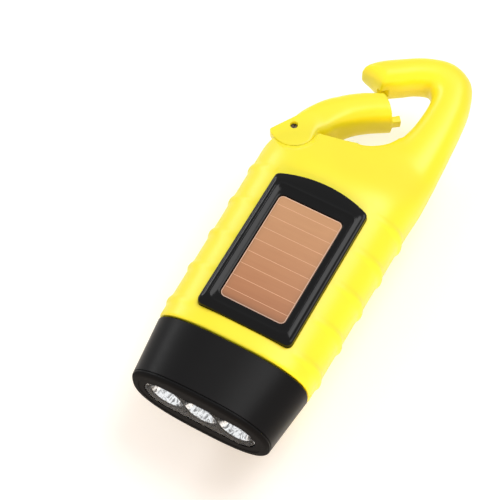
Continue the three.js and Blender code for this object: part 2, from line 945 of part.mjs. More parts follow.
// A wedge round the gate's pin, out to a radius, as [x, y] points.
function pinSector(radius, from, to, steps) {
  const outline = [[pinX, pinY]];
  for (let i = 0; i <= steps; i += 1) outline.push(polar(radius, from + ((to - from) * i) / steps));
  return outline;
}

// The nose's end is rounded, and turns away from the gate's tip above and below.
function noseEnd() {
  const heightShares = [-1.01, -0.94, -0.8, -0.55, 0, 0.55, 0.8, 0.94, 1.01];
  return loft(
    heightShares.map((share) => {
      const drop = 1 - Math.sqrt(1 - Math.min(share ** 2, 1));
      const radius = noseRadius + noseRound * drop;
      const wedge = pinSector(radius, noseAngle - noseSweep, noseAngle + noseSweep, noseSteps);
      return wedge.map(([x, y]) => new THREE.Vector3(x, y, hookHalfThick * share));
    }),
  );
}

function noseCuts(side) {
  const top = side * (nubHalfThick + sideGap);
  const [z0, z1] = [-side * overrun, top].sort((a, b) => a - b);
  const open = nubClosedStart - 3 * nubAngle;
  const stop = nubClosedStart + nubAngle + sideGap / noseRadius / degrees;
  const slot = ringSector(noseRadius - overrun, nubRadius + gateTipGap, open, stop, slotSteps);
  return [prism(slot, z0, z1), noseEnd()];
}

// Gate
const gateWebRadius = earRadius + runGap;

function gate() {
  const outer = curveOf(gateOuterShares.map(clipPoint));
  const inner = curveOf(gateInnerShares.map(clipPoint));
  const blade = bar(outer, inner, gateHalfThick, gateSquareness, gateStations, 0);
  const reach = prism(pinSector(gateReach, ...gateSweep, gateSteps), -earTop, earTop);
  const ears = rod(pinX, pinY, -earTop, earTop, earRadius, discSides);
  const edge = outsideGateEdge(0, 2 * earRadius);
  const nub = prism(
    ringSector(gateReach - overrun, nubRadius, nubStart, nubStart + nubAngle, nubSteps),
    -nubHalfThick,
    nubHalfThick,
  );
  const slot = rod(pinX, pinY, -earInner, earInner, gateWebRadius, discSides);
  const hole = rod(pinX, pinY, -2 * earTop, 2 * earTop, gatePinRadius + runGap);
  return blade.intersect(reach).add(ears).subtract(edge).add(nub).subtract(slot).subtract(hole);
}

// What lies outside the gate's straight outer edge, with the gate turned by an angle in degrees.
// It starts a length behind the edge's first point.
function outsideGateEdge(turn, behind) {
  const pin = new THREE.Vector3(pinX, pinY, 0);
  const up = new THREE.Vector3(0, 0, 1);
  const [p, q] = [0, 1].map((i) =>
    clipPoint(gateOuterShares[i]).sub(pin).applyAxisAngle(up, turn * degrees).add(pin),
  );
  const way = q.clone().sub(p).normalize();
  const out = new THREE.Vector3(-way.y, way.x, 0).multiplyScalar(2 * earRadius);
  const a = p.clone().addScaledVector(way, -behind);
  const b = q.clone().addScaledVector(way, 2 * earRadius);
  const outline = [a, b, b.clone().add(out), a.clone().add(out)];
  return prism(outline.map((v) => [v.x, v.y]), -2 * earTop, 2 * earTop);
}

function gatePin() {
  const half = earTop - earPinSink;
  return rod(pinX, pinY, -half, half, gatePinRadius, holeSides);
}

// Torsion spring round the gate's pin, in a pocket in the lug
const springPocketRadius = gateSpringRadius + gateSpringWire;
const springPocketHalf = (gateSpringTurns * gateSpringPitch) / 2 + gateSpringWire / 2 + runGap;

function gateSpring() {
  const sweep = 360 * gateSpringTurns + (springLegAngles.gate - springLegAngles.lug);
  const steps = Math.round((sweep / 360) * coilSteps);
  const points = [];
  const low = (-gateSpringTurns * gateSpringPitch) / 2;
  for (let i = 0; i <= steps; i += 1) {
    const angle = springLegAngles.lug + (sweep * i) / steps;
    const [x, y] = polar(gateSpringRadius, angle);
    points.push(new THREE.Vector3(x, y, low + (gateSpringTurns * gateSpringPitch * i) / steps));
  }
  const leg = polar(gateWebRadius + gateSpringWire, springLegAngles.gate + springLegLean);
  points.push(new THREE.Vector3(leg[0], leg[1], -low));
  return tube(points, gateSpringWire / 2, wireSides);
}

function springPocket(side) {
  const [z0, z1] = [-side * overrun, side * springPocketHalf].sort((a, b) => a - b);
  const round = rod(pinX, pinY, z0, z1, springPocketRadius);
  const way = ringSector(gatePinRadius, lugRadius + overrun, ...springWay, springWaySteps);
  return round.add(prism(way, z0, z1));
}

function springLegSlot() {
  const low = gateWebRadius - springSlotDepth;
  const outline = ringSector(low, gateWebRadius + 2 * gateSpringWire, ...springSlot, slotSteps);
  return prism(outline, -springPocketHalf, springPocketHalf);
}

// Solar frame

// A rounded outline whose top side may be arched, with as many points whatever its sizes.
function frameRing(halfWidth, y0, y1, apex, corner, z) {
  const points = [];
  const put = (x, y) => points.push(new THREE.Vector3(x, y, z));
  const arc = (cx, cy, from, to) => {
    for (let i = 0; i <= frameCornerSteps; i += 1) {
      const angle = from + ((to - from) * i) / frameCornerSteps;
      put(cx + corner * Math.cos(angle), cy + corner * Math.sin(angle));
    }
  };
  const rise = apex - y1;
  arc(halfWidth - corner, y0 + corner, -Math.PI / 2, 0);
  const archRadius = rise > 0 ? (halfWidth ** 2 + rise ** 2) / (2 * rise) : Infinity;
  const archCenter = apex - archRadius;
  const reach = Math.sqrt((archRadius - corner) ** 2 - (halfWidth - corner) ** 2);
  const tilt = rise > 0 ? Math.atan2(reach, halfWidth - corner) : Math.PI / 2;
  const topY = rise > 0 ? archCenter + reach : y1 - corner;
  arc(halfWidth - corner, topY, 0, tilt);
  const across = halfWidth - corner + corner * Math.cos(tilt);
  for (let i = 1 - frameArchSteps; i < frameArchSteps; i += 1) {
    const x = (-across * i) / frameArchSteps;
    const height = Math.sqrt(archRadius ** 2 - x ** 2);
    put(x, rise > 0 ? archCenter + height : y1);
  }
  arc(-halfWidth + corner, topY, Math.PI - tilt, Math.PI);
  arc(-halfWidth + corner, y0 + corner, Math.PI, 1.5 * Math.PI);
  return points;
}

const pocketFloor = bodyHalfThick - frameSeatDepth;
const frameBottom = pocketFloor + seatGap;
const windowHalfWidth = cellHalfWidth + windowMargin;
const windowStart = cellStart - windowMargin;
const windowEnd = cellEnd + windowMargin;

function frameOutline(inset, z) {
  return frameRing(
    frameHalfWidth - inset,
    frameStart + inset,
    frameSideEnd - inset,
    frameApex - inset,
    frameCorner,
    z,
  );
}

function ridgeOutline(inset, z) {
  return frameRing(
    ridgeHalfWidth - inset,
    ridgeStart + inset,
    ridgeEnd - inset,
    ridgeEnd - inset,
    cellCorner,
    z,
  );
}

function windowOutline(z) {
  return frameRing(windowHalfWidth, windowStart, windowEnd, windowEnd, cellCorner, z);
}

function solarFrame() {
  return loft(
    [
      frameOutline(0, frameBottom),
      frameOutline(0, frameEdgeTop),
      frameOutline(frameEdgeRound, frameEdgeTop + frameEdgeRound),
      ridgeOutline(-ridgeWidth, (frameEdgeTop + frameEdgeRound + ridgeTop) / 2),
      ridgeOutline(0, ridgeTop),
      ridgeOutline(ridgeWidth, ridgeTop),
      windowOutline(cellTop + seatGap),
      windowOutline(frameBottom),
    ],
    true,
  );
}

function framePocket() {
  return loft([
    frameOutline(-sideGap, pocketFloor),
    frameOutline(-sideGap, bodyHalfThick + overrun),
  ]);
}

function panel(z0, z1) {
  return loft(
    [z0, z1].map((z) => frameRing(cellHalfWidth, cellStart, cellEnd, cellEnd, cellCorner, z)),
  );
}

// Gear train: places of the three axles after the crank's
const trainDistances = [wheelDistance, stepDistance, stepDistance];
const axles = [{ x: 0, y: crankY }];
stepAngles.forEach((angle, i) => {
  const from = axles[i];
  axles.push({
    x: from.x + trainDistances[i] * Math.cos(angle * degrees),
    y: from.y + trainDistances[i] * Math.sin(angle * degrees),
  });
});
const [crankAxis, stepOneAxis, stepTwoAxis, rotorAxis] = axles;

const backFloor = -(bodyHalfThick - backWall);
const wheelBottom = backFloor + wheelLift;
const wheelTop = wheelBottom + wheelThick;
const stepOneBottom = wheelTop + gearSpace;
const stepOneTop = stepOneBottom + stepThick;
const stepTwoBottom = stepOneTop + gearSpace + pinionOverhang;
const stepTwoTop = stepTwoBottom + stepThick;
const plateBottom = stepTwoTop + gearSpace + pinionOverhang;
const plateTop = plateBottom + plateThick;

// The outline of an involute gear. phase turns it, in degrees.
function gearOutline(teeth, toothSize, addendumShare, x, y, phase, flankSteps) {
  const pitch = (teeth * toothSize) / 2;
  const base = pitch * Math.cos(pressureAngle * degrees);
  const tip = pitch + addendumShare * toothSize;
  const root = pitch - rootShare * toothSize;
  const spread = (radius) => {
    if (radius <= base) return 0;
    const t = Math.sqrt((radius / base) ** 2 - 1);
    return t - Math.atan(t);
  };
  const halfTooth = (Math.PI / 2 - toothSlack / toothSize) / teeth + spread(pitch);
  const radii = [root];
  for (let i = 0; i < flankSteps; i += 1) radii.push(base + ((tip - base) * i) / flankSteps);
  radii.push(tip);
  const outline = [];
  for (let k = 0; k < teeth; k += 1) {
    const middle = phase * degrees + (2 * Math.PI * k) / teeth;
    const put = (radius, side) => {
      const angle = middle + side * (halfTooth - spread(radius));
      outline.push([x + radius * Math.cos(angle), y + radius * Math.sin(angle)]);
    };
    radii.forEach((radius) => put(radius, -1));
    [...radii].reverse().forEach((radius) => put(radius, 1));
  }
  return outline;
}

// Phases that put a tooth of one gear in a gap of the next, along the line between their axles.
const wheelPhase = stepAngles[0];
const pinionHalfPitch = 180 / pinionTeeth;
const stepOnePhase = stepAngles[0] + 180 + pinionHalfPitch;
const stepTwoPhase = stepAngles[1] + 180 + pinionHalfPitch;
const rotorPhase = stepAngles[2] + 180 + pinionHalfPitch;

function wheel(teeth, toothSize, axis, phase, z0, z1) {
  return prism(gearOutline(teeth, toothSize, wheelTipShare, axis.x, axis.y, phase, 0), z0, z1);
}

function pinion(toothSize, axis, phase, z0, z1) {
  const { x, y } = axis;
  const outline = gearOutline(pinionTeeth, toothSize, pinionTipShare, x, y, phase, 0);
  return prism(outline, z0, z1);
}

function driveGear() {
  const gear = wheel(wheelTeeth, wheelToothSize, crankAxis, wheelPhase, wheelBottom, wheelTop);
  const hub = rod(crankAxis.x, crankAxis.y, wheelTop - seatGap, stepOneTop, 2 * crankShaftRadius);
  const bore = keyedRod(wheelBottom - overrun, stepOneTop + overrun, runGap);
  return gear.add(hub).subtract(bore);
}

function stepGear(axis, pinionToothSize, pinionPhase, pinionBottom, wheelLow, phase) {
  const wheelHigh = wheelLow + stepThick;
  const small = pinion(pinionToothSize, axis, pinionPhase, pinionBottom, wheelLow + seatGap);
  const big = wheel(stepTeeth, stepToothSize, axis, phase, wheelLow, wheelHigh);
  const { x, y } = axis;
  const [hubLow, hubHigh] = [wheelHigh - seatGap, wheelHigh + pinionOverhang];
  const hub = rod(x, y, hubLow, hubHigh, 2 * axleRadius, holeSides);
  const hole = axleRadius + runGap;
  const bore = rod(x, y, pinionBottom - overrun, wheelHigh + overrun, hole, holeSides);
  return small.add(big).add(hub).subtract(bore);
}

function stepGearOne() {
  const bottom = wheelBottom - pinionOverhang;
  return stepGear(stepOneAxis, wheelToothSize, stepOnePhase, bottom, stepOneBottom, stepAngles[1]);
}

function stepGearTwo() {
  const bottom = stepOneBottom - pinionOverhang;
  return stepGear(stepTwoAxis, stepToothSize, stepTwoPhase, bottom, stepTwoBottom, stepAngles[2]);
}

const magnetBottom = plateTop + magnetLift;
const magnetTop = magnetBottom + magnetThick;
const rotorPinionBottom = stepTwoBottom - pinionOverhang;
const rotorShaftBottom = rotorPinionBottom - rotorShaftTail;

function rotorPinion() {
  const { x, y } = rotorAxis;
  const teeth = pinion(stepToothSize, rotorAxis, rotorPhase, rotorPinionBottom, plateBottom - sideGap);
  const shaft = rod(x, y, rotorShaftBottom, magnetTop, axleRadius, smallSides);
  return teeth.add(shaft);
}

function magnetRotor() {
  const { x, y } = rotorAxis;
  const magnet = rod(x, y, magnetBottom, magnetTop, magnetRadius);
  const hole = axleRadius + runGap;
  return magnet.subtract(rod(x, y, magnetBottom - overrun, magnetTop + overrun, hole, smallSides));
}

function stepAxle(axis) {
  return rod(axis.x, axis.y, backFloor - axleDepth, plateBottom + plateThick / 2, axleRadius, smallSides);
}

// Plate over the gears, which carries the top ends of the axles and the stator
const plateFront = crankY - plateLead;
const plateBack = rotorAxis.y + magnetRadius;
const pillars = [
  [pillarFarInset - bodyHalfWidth, clipStart - pillarFarTail],
  [bodyHalfWidth - pillarFarInset, clipStart - pillarFarTail],
  [bodyHalfWidth - pillarRightInset, crankY + pillarRightLead],
  [pillarLeftInset - bodyHalfWidth, crankY + pillarLeftLead],
].map(([x, y]) => ({ x, y }));
const statorArmX = magnetRadius + magnetAirGap + statorArm / 2;
const statorFeet = [-1, 1].flatMap((side) =>
  [footTopShare, -footLowShare].map((share) => ({
    x: rotorAxis.x + side * statorArmX,
    y: rotorAxis.y + magnetRadius * share,
  })),
);
const statorBottom = plateTop + statorLift;

function gearPlate() {
  const outline = [
    [pillars[3].x - pillarRadius, plateFront],
    [pillars[2].x + pillarRadius, plateFront],
    [pillars[2].x + pillarRadius, flatFaceEnd - plateNearShoulder],
    [pillars[1].x + pillarRadius, flatFaceEnd - plateFarShoulder],
    [pillars[1].x + pillarRadius, plateBack],
    [pillars[0].x - pillarRadius, plateBack],
    [pillars[0].x - pillarRadius, flatFaceEnd - plateFarShoulder],
    [pillars[3].x - pillarRadius, flatFaceEnd - plateNearShoulder],
  ];
  let plate = prism(outline, plateBottom, plateTop);
  for (const { x, y } of statorFeet) {
    plate = plate.add(rod(x, y, plateTop - seatGap, statorBottom - seatGap, footRadius, smallSides));
  }
  const [low, high] = [plateBottom - overrun, plateTop + overrun];
  for (const { x, y } of [stepOneAxis, stepTwoAxis, rotorAxis]) {
    plate = plate.subtract(rod(x, y, low, high, axleRadius + runGap, smallSides));
  }
  const journal = crankJournalRadius + runGap;
  return plate.subtract(rod(crankAxis.x, crankAxis.y, low, high, journal, holeSides));
}

// Dynamo: a horseshoe of iron round the magnet, with a coil on its bridge
const statorTop = statorBottom + statorThick;
const bridgeStart = rotorAxis.y - statorDrop;
const bridgeEnd = bridgeStart + statorBridge;

function statorCore() {
  const { x, y } = rotorAxis;
  const outerX = magnetRadius + magnetAirGap + statorArm;
  const innerX = magnetRadius * statorInnerShare;
  const tipY = y + magnetRadius * statorTipShare;
  const block = box(x - outerX, x + outerX, bridgeStart, tipY, statorBottom, statorTop);
  const inside = box(
    x - innerX,
    x + innerX,
    bridgeEnd,
    y + 2 * magnetRadius,
    statorBottom - overrun,
    statorTop + overrun,
  );
  const bore = magnetRadius + magnetAirGap;
  const hole = rod(x, y, statorBottom - overrun, statorTop + overrun, bore, boreSides);
  return block.subtract(inside).subtract(hole);
}

const coilHalfLength = magnetRadius * statorInnerShare - sideGap;
const bobbinInner = sideGap / 2;

function coilBlock(x0, x1, spread) {
  return box(
    x0,
    x1,
    bridgeStart - spread,
    bridgeEnd + spread,
    statorBottom - spread,
    statorTop + spread,
  );
}

function coilBobbin() {
  const { x } = rotorAxis;
  const [x0, x1] = [x - coilHalfLength, x + coilHalfLength];
  const flange = bobbinInner + bobbinWall + windingThick + seatGap;
  const tubePart = coilBlock(x0, x1, bobbinInner + bobbinWall);
  const left = coilBlock(x0, x0 + bobbinFlange, flange);
  const right = coilBlock(x1 - bobbinFlange, x1, flange);
  return joined(tubePart, left, right).subtract(coilBlock(x0 - overrun, x1 + overrun, bobbinInner));
}

function coilWinding() {
  const { x } = rotorAxis;
  const x0 = x - coilHalfLength + bobbinFlange + seatGap;
  const x1 = x + coilHalfLength - bobbinFlange - seatGap;
  const inner = bobbinInner + bobbinWall + seatGap;
  const outer = inner + windingThick - seatGap;
  return coilBlock(x0, x1, outer).subtract(coilBlock(x0 - overrun, x1 + overrun, inner));
}

// Crank, outside the back of the case
const armTop = -(capRimHalfThick + armSweepGap);
const armBottom = armTop - armThick;
const armMiddle = (armTop + armBottom) / 2;
const slotHalfWidth = knobRadius + knobSideGap;
const slotEnd = hingeY + knobRadius + knobEndGap;
const armEnd = slotEnd + armHalfWidth - slotHalfWidth;
const knobEnd = hingeY - knobHingeRadius - sideGap - knobLength;
const knobTip = knobEnd - seatGap - knobScrewHeadThick;
const slotStart = hingeY - Math.hypot(hingeY - knobTip, knobScrewHeadRadius) - sideGap;
const backFace = -bodyHalfThick;
const bossFace = backFace - crankBossHeight;
const shaftEnd = armBottom + armFloor + seatGap;

// A rod at the crank's axis with one flat, for the holes in the gear and the arm.
function keyedRod(z0, z1, grow) {
  const full = rod(0, crankY, z0, z1, crankShaftRadius + grow);
  return full.subtract(shaftFlat(z0, z1, grow));
}

function shaftFlat(z0, z1, grow) {
  const far = 2 * crankShaftRadius;
  return box(crankFlat + grow, far, crankY - far, crankY + far, z0 - seatGap, z1 + seatGap);
}

function crankShaft() {
  const full = rod(0, crankY, shaftEnd, stepOneTop, crankShaftRadius);
  const top = plateBottom + plateThick / 2;
  const journal = rod(0, crankY, stepOneTop - seatGap, top, crankJournalRadius, smallSides);
  const thread = rod(
    0,
    crankY,
    shaftEnd - overrun,
    shaftEnd + crankScrewLength,
    crankScrewRadius + seatGap,
    smallSides,
  );
  return full
    .subtract(shaftFlat(wheelBottom, stepOneTop, 0))
    .subtract(shaftFlat(shaftEnd - overrun, armTop, 0))
    .add(journal)
    .subtract(thread);
}

function crankBush() {
  const inner = crankShaftRadius + runGap;
  const outer = inner + bushWall;
  const [low, high] = [bossFace - seatGap - bushFlangeThick, bossFace - seatGap];
  const barrel = rod(0, crankY, low, backFloor + bushOverhang, outer);
  const flange = rod(0, crankY, low, high, outer + bushFlangeWidth);
  const bore = rod(0, crankY, bossFace - overrun, backFloor + overrun, inner);
  return barrel.add(flange).subtract(bore);
}

// A flat bar between two round ends, with its long edges rounded over.
function roundedBar(y0, r0, y1, r1, z0, z1, round) {
  const ring = (inset, z) => {
    const points = [];
    const lean = Math.asin((r0 - r1) / (y1 - y0));
    const put = (y, radius, angle) => {
      points.push(new THREE.Vector3(radius * Math.cos(angle), y + radius * Math.sin(angle), z));
    };
    for (let i = 0; i <= armEndSteps; i += 1) {
      put(y0, r0 - inset, Math.PI - lean + ((Math.PI + 2 * lean) * i) / armEndSteps);
    }
    for (let i = 0; i <= armEndSteps; i += 1) {
      put(y1, r1 - inset, lean + ((Math.PI - 2 * lean) * i) / armEndSteps);
    }
    return points;
  };
  return loft([
    ring(round, z0),
    ring(0, z0 + round),
    ring(0, z1 - round),
    ring(round, z1),
  ]);
}

function crankArm() {
  const bar0 = roundedBar(
    crankY,
    hubRadius,
    armEnd - armHalfWidth,
    armHalfWidth,
    armBottom,
    armTop,
    armCornerRound,
  );
  const slot = box(
    -slotHalfWidth,
    slotHalfWidth,
    slotStart,
    slotEnd,
    armBottom - overrun,
    armTop + overrun,
  );
  const across = 2 * armHalfWidth;
  const pinHole = rodX(hingeY, armMiddle, -across, across, knobPinRadius + runGap, holeSides);
  const shaftHole = keyedRod(armBottom + armFloor, armTop + overrun, runGap);
  const screwHole = rod(0, crankY, armBottom - overrun, armTop, crankScrewRadius + sideGap, holeSides);
  const headHole = rod(
    0,
    crankY,
    armBottom - overrun,
    armBottom + crankScrewHeadThick + seatGap,
    crankScrewHeadRadius + sideGap,
  );
  return [slot, pinHole, shaftHole, screwHole, headHole].reduce((arm, cut) => arm.subtract(cut), bar0);
}

function crankScrew() {
  const headTop = armBottom + crankScrewHeadThick;
  const head = rod(0, crankY, armBottom + seatGap * 2, headTop, crankScrewHeadRadius);
  const tip = shaftEnd + crankScrewLength - seatGap;
  const shank = rod(0, crankY, headTop - seatGap, tip, crankScrewRadius, smallSides);
  return head.add(shank);
}

function knobPin() {
  const half = armHalfWidth - seatGap * 3;
  return rodX(hingeY, armMiddle, -half, half, knobPinRadius, holeSides);
}

function knobYoke() {
  const half = slotHalfWidth - sideGap;
  const barrel = rodX(hingeY, armMiddle, -half, half, knobHingeRadius);
  const post = rodY(0, armMiddle, knobEnd - seatGap / 2, hingeY, knobPostRadius, roundSides);
  const hole = rodX(hingeY, armMiddle, -2 * half, 2 * half, knobPinRadius + runGap, holeSides);
  return barrel.add(post).subtract(hole);
}

function knobSleeve() {
  const top = hingeY - knobHingeRadius - sideGap;
  const groove = knobGrooveDepth;
  const waist = knobWaistShares.map((share) => knobEnd + (top - knobEnd) * share);
  const profile = [
    [knobPostRadius + runGap, knobEnd],
    [knobRadius - groove, knobEnd],
    [knobRadius, knobEnd + groove],
    [knobRadius, waist[0]],
    [knobRadius - groove, waist[1]],
    [knobRadius - groove, waist[2]],
    [knobRadius, waist[3]],
    [knobRadius, top - groove],
    [knobRadius - groove, top],
    [knobPostRadius + runGap, top],
    [knobPostRadius + runGap, knobEnd],
  ];
  const geometry = new THREE.LatheGeometry(
    profile.map(([r, h]) => new THREE.Vector2(r, h)),
    roundSides,
  );
  geometry.translate(0, 0, armMiddle);
  return solidOf(geometry);
}

function knobScrew() {
  return rodY(0, armMiddle, knobTip, knobEnd - seatGap, knobScrewHeadRadius, holeSides);
}

// Board, cell and switch
const boardTop = boardBottom + boardThick;
const boardStart = bodyStart + boardLead;
const boardEnd = boardStart + 2 * holderRadius + boardTailMargin;
const holderY = boardStart + holderRadius;

function mainBoard() {
  return box(-boardHalfWidth, boardHalfWidth, boardStart, boardEnd, boardBottom, boardTop);
}

function cellHolder() {
  const bottom = boardTop + seatGap;
  const floor = bottom + holderWall;
  const cup = rod(0, holderY, bottom, floor + cellHeight * holderShare, holderRadius);
  return cup.subtract(rod(0, holderY, floor, floor + 2 * cellHeight, cellRadius + sideGap));
}

function coinCell() {
  const floor = boardTop + holderWall + 2 * seatGap;
  return rod(0, holderY, floor, floor + cellHeight, cellRadius);
}

const boardPosts = [boardPostInset - boardHalfWidth, boardHalfWidth - boardPostInset].flatMap((x) =>
  [boardStart + boardPostInset, boardEnd - boardPostInset].map((y) => ({ x, y })),
);

const switchTop = boardBottom - seatGap;
const switchBottom = switchTop - switchDepth;
const buttonFlangeTop = backFloor + seatGap + buttonFlangeThick;
const buttonFace = backFace - buttonProud;

function switchBody() {
  const half = switchHalfWidth;
  const body = box(-half, half, switchY - half, switchY + half, switchBottom, switchTop);
  const depth = switchBottom + plungerInside + plungerTravel + sideGap;
  return body.subtract(rod(0, switchY, switchBottom - overrun, depth, plungerRadius + runGap, holeSides));
}

function switchPlunger() {
  return rod(0, switchY, buttonFlangeTop + seatGap, switchBottom + plungerInside, plungerRadius, holeSides);
}

function switchButton() {
  const round = buttonRound;
  return turned(
    [
      [0, buttonFlangeTop],
      [buttonRadius + buttonFlangeWidth, buttonFlangeTop],
      [buttonRadius + buttonFlangeWidth, backFloor + seatGap],
      [buttonRadius, backFloor + seatGap],
      [buttonRadius, buttonFace + round],
      [buttonRadius - round, buttonFace],
      [0, buttonFace],
    ],
    0,
    switchY,
  );
}

// A coil spring along Z.
function coil(x, y, z0, z1, radius, wire, turns) {
  const steps = turns * coilSteps;
  const [low, high] = [z0 + wire / 2, z1 - wire / 2];
  const points = Array.from({ length: steps + 1 }, (_, i) => {
    const angle = (2 * Math.PI * turns * i) / steps;
    const z = low + ((high - low) * i) / steps;
    return new THREE.Vector3(x + radius * Math.cos(angle), y + radius * Math.sin(angle), z);
  });
  return tube(points, wire / 2, wireSides);
}

function buttonSpring() {
  return coil(
    0,
    switchY,
    buttonFlangeTop + seatGap,
    switchBottom - seatGap,
    buttonSpringRadius,
    buttonSpringWire,
    buttonSpringTurns,
  );
}

// Case screws, from the back
function screwSeat({ x, y }) {
  const edge = Math.abs(x) + screwHeadRadius;
  const surface = sectionHeight(bodyWidth(y), bodyThickness(y), bodySquareness, edge);
  return -(surface - screwHeadThick - sideGap);
}

function caseScrew(place) {
  const seat = screwSeat(place);
  const { x, y } = place;
  const head = rod(x, y, seat - screwHeadThick, seat - seatGap, screwHeadRadius, smallSides);
  return head.add(rod(x, y, seat - 2 * seatGap, screwGrip, screwRadius, smallSides));
}

// Shells

// One half of the case and its neck, as a solid block, without the hook.
function shellBlock(side) {
  const body = bodyHalf(side).subtract(loopCutter()).subtract(shoulderCutter());
  return joined(neckHalf(side), body, ribs(side));
}

function frontShell() {
  const block = shellBlock(1);
  const skin = block.add(hookHalf(1));
  const shell = skin.subtract(neckHollow(1, faceWall)).subtract(bodyHollow(1, faceWall));
  const posts = boardPosts.map(({ x, y }) =>
    rod(x, y, boardTop + seatGap, bodyHalfThick, pillarRadius, postSides),
  );
  const bosses = screwPlaces.map(({ x, y }) =>
    rod(x, y, 0, bodyHalfThick, screwBossRadius, smallSides),
  );
  const inner = joined(...posts, ...bosses).intersect(block);
  const pilots = screwPlaces.map(({ x, y }) =>
    rod(x, y, -overrun, screwGrip + screwTipRoom, screwRadius + seatGap, smallSides),
  );
  const cuts = [framePocket(), earRecess(1), ...pilots];
  const finished = cuts.reduce((solid, cut) => solid.subtract(cut), shell.add(inner));
  return withLug(finished, 1);
}

// Adds the gate's lug, trimmed to the closed gate's edge, and cuts the spring's pocket and the pin's hole.
function withLug(shell, side) {
  const hole = rod(pinX, pinY, -bodyHalfThick, bodyHalfThick, gatePinRadius + runGap);
  const trim = outsideGateEdge(pressedAngle, 0);
  const disc = lug(side).subtract(trim);
  return shell.subtract(trim).add(disc).subtract(springPocket(side)).subtract(hole);
}

function backShell() {
  const block = shellBlock(-1);
  const skin = block.add(hookHalf(-1));
  const shell = skin.subtract(neckHollow(-1, backWall)).subtract(bodyHollow(-1, backWall));
  const low = -bodyHalfThick;
  const bosses = screwPlaces.map(({ x, y }) => rod(x, y, low, 0, screwBossRadius, smallSides));
  const supports = pillars.map(({ x, y }) =>
    rod(x, y, low, plateBottom - seatGap, pillarRadius, postSides),
  );
  const axleBosses = [
    rod(stepOneAxis.x, stepOneAxis.y, low, wheelBottom - 2 * pinionOverhang, axleBossRadius, smallSides),
    rod(stepTwoAxis.x, stepTwoAxis.y, low, stepOneBottom - 2 * pinionOverhang, axleBossRadius, smallSides),
    rod(rotorAxis.x, rotorAxis.y, low, rotorPinionBottom - pinionOverhang, axleBossRadius, smallSides),
  ];
  const inner = joined(...bosses, ...supports, ...axleBosses).intersect(block);
  const outside = rod(0, crankY, bossFace, backFloor - seatGap, crankBossRadius, discSides);
  const cuts = [
    ...screwPlaces.flatMap((place) => {
      const seat = screwSeat(place);
      const head = rod(place.x, place.y, low - overrun, seat, screwHeadRadius + sideGap, smallSides);
      return [head, rod(place.x, place.y, low, overrun, screwRadius + sideGap, smallSides)];
    }),
    ...[stepOneAxis, stepTwoAxis].map(({ x, y }) =>
      rod(x, y, backFloor - axleDepth - seatGap, 0, axleRadius + runGap, smallSides),
    ),
    rod(rotorAxis.x, rotorAxis.y, rotorShaftBottom - seatGap, 0, axleRadius + runGap, smallSides),
    rod(0, crankY, bossFace - overrun, 0, crankShaftRadius + bushWall + 2 * runGap),
    rod(0, switchY, low - overrun, 0, buttonRadius + 2 * runGap),
    earRecess(-1),
  ];
  const solid = joined(shell, inner, outside);
  return withLug(cuts.reduce((rest, cut) => rest.subtract(cut), solid), -1);
}

// The pieces
addPiece("front_shell", frontShell(), yellowPlastic);
addPiece("back_shell", backShell(), yellowPlastic);
addPiece("head_cap", headCap(), blackPlastic);
addPiece("front_lens", frontLens(), clearPlastic);
addPiece("reflector", reflector(), chromePlate);
["led_left", "led_center", "led_right"].forEach((name, i) => {
  addPiece(name, led(ledXs[i]), ledEpoxy);
});
addPiece("led_board", ledBoard(), boardGreen);
addPiece("solar_frame", solarFrame(), glossBlack);
addPiece("solar_board", panel(frameBottom, cellTop - cellThick - seatGap), boardGreen);
addPiece("solar_cell", panel(cellTop - cellThick, cellTop), copperCell);

addPiece("gate", gate().subtract(springLegSlot()), yellowPlastic);
addPiece("gate_pin", gatePin(), steel);
addPiece("gate_spring", gateSpring(), steel);

addPiece("main_board", mainBoard(), boardGreen);
addPiece("cell_holder", cellHolder(), blackPlastic);
addPiece("coin_cell", coinCell(), steel);
addPiece("switch_body", switchBody(), blackPlastic);
addPiece("switch_plunger", switchPlunger(), whiteNylon);
addPiece("switch_button", switchButton(), blackPlastic);
addPiece("button_spring", buttonSpring(), steel);

addPiece("drive_gear", driveGear(), whiteNylon);
addPiece("step_gear_1", stepGearOne(), whiteNylon);
addPiece("step_gear_2", stepGearTwo(), whiteNylon);
addPiece("step_axle_1", stepAxle(stepOneAxis), steel);
addPiece("step_axle_2", stepAxle(stepTwoAxis), steel);
addPiece("gear_plate", gearPlate(), whiteNylon);
addPiece("rotor_pinion", rotorPinion(), brass);
addPiece("magnet_rotor", magnetRotor(), magnetBlack);
addPiece("stator_core", statorCore(), steel);
addPiece("coil_bobbin", coilBobbin(), blackPlastic);
addPiece("coil_winding", coilWinding(), copperWire);

addPiece("crank_shaft", crankShaft(), steel);
addPiece("crank_bush", crankBush(), brass);
addPiece("crank_arm", crankArm(), blackPlastic);
addPiece("crank_screw", crankScrew(), steel);
addPiece("knob_pin", knobPin(), steel);
addPiece("knob_yoke", knobYoke(), blackPlastic);
addPiece("knob_sleeve", knobSleeve(), blackPlastic);
addPiece("knob_screw", knobScrew(), steel);

screwPlaces.forEach((place, i) => {
  addPiece(`case_screw_${i + 1}`, caseScrew(place), steel);
});

// The origin goes under the middle of the part, on the surface that it lies on.
const bounds = new THREE.Box3().setFromObject(flashlight);
const middle = bounds.getCenter(new THREE.Vector3());
flashlight.position.set(-middle.x, -middle.y, -bounds.min.z);

export default flashlight;
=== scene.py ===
"""Hand crank flashlight with a solar panel and a carabiner hook: its finished pieces.
"""

import math

import bmesh
import bpy
from bpy.props import FloatProperty, FloatVectorProperty, IntProperty, PointerProperty
from mathutils import Matrix, Vector


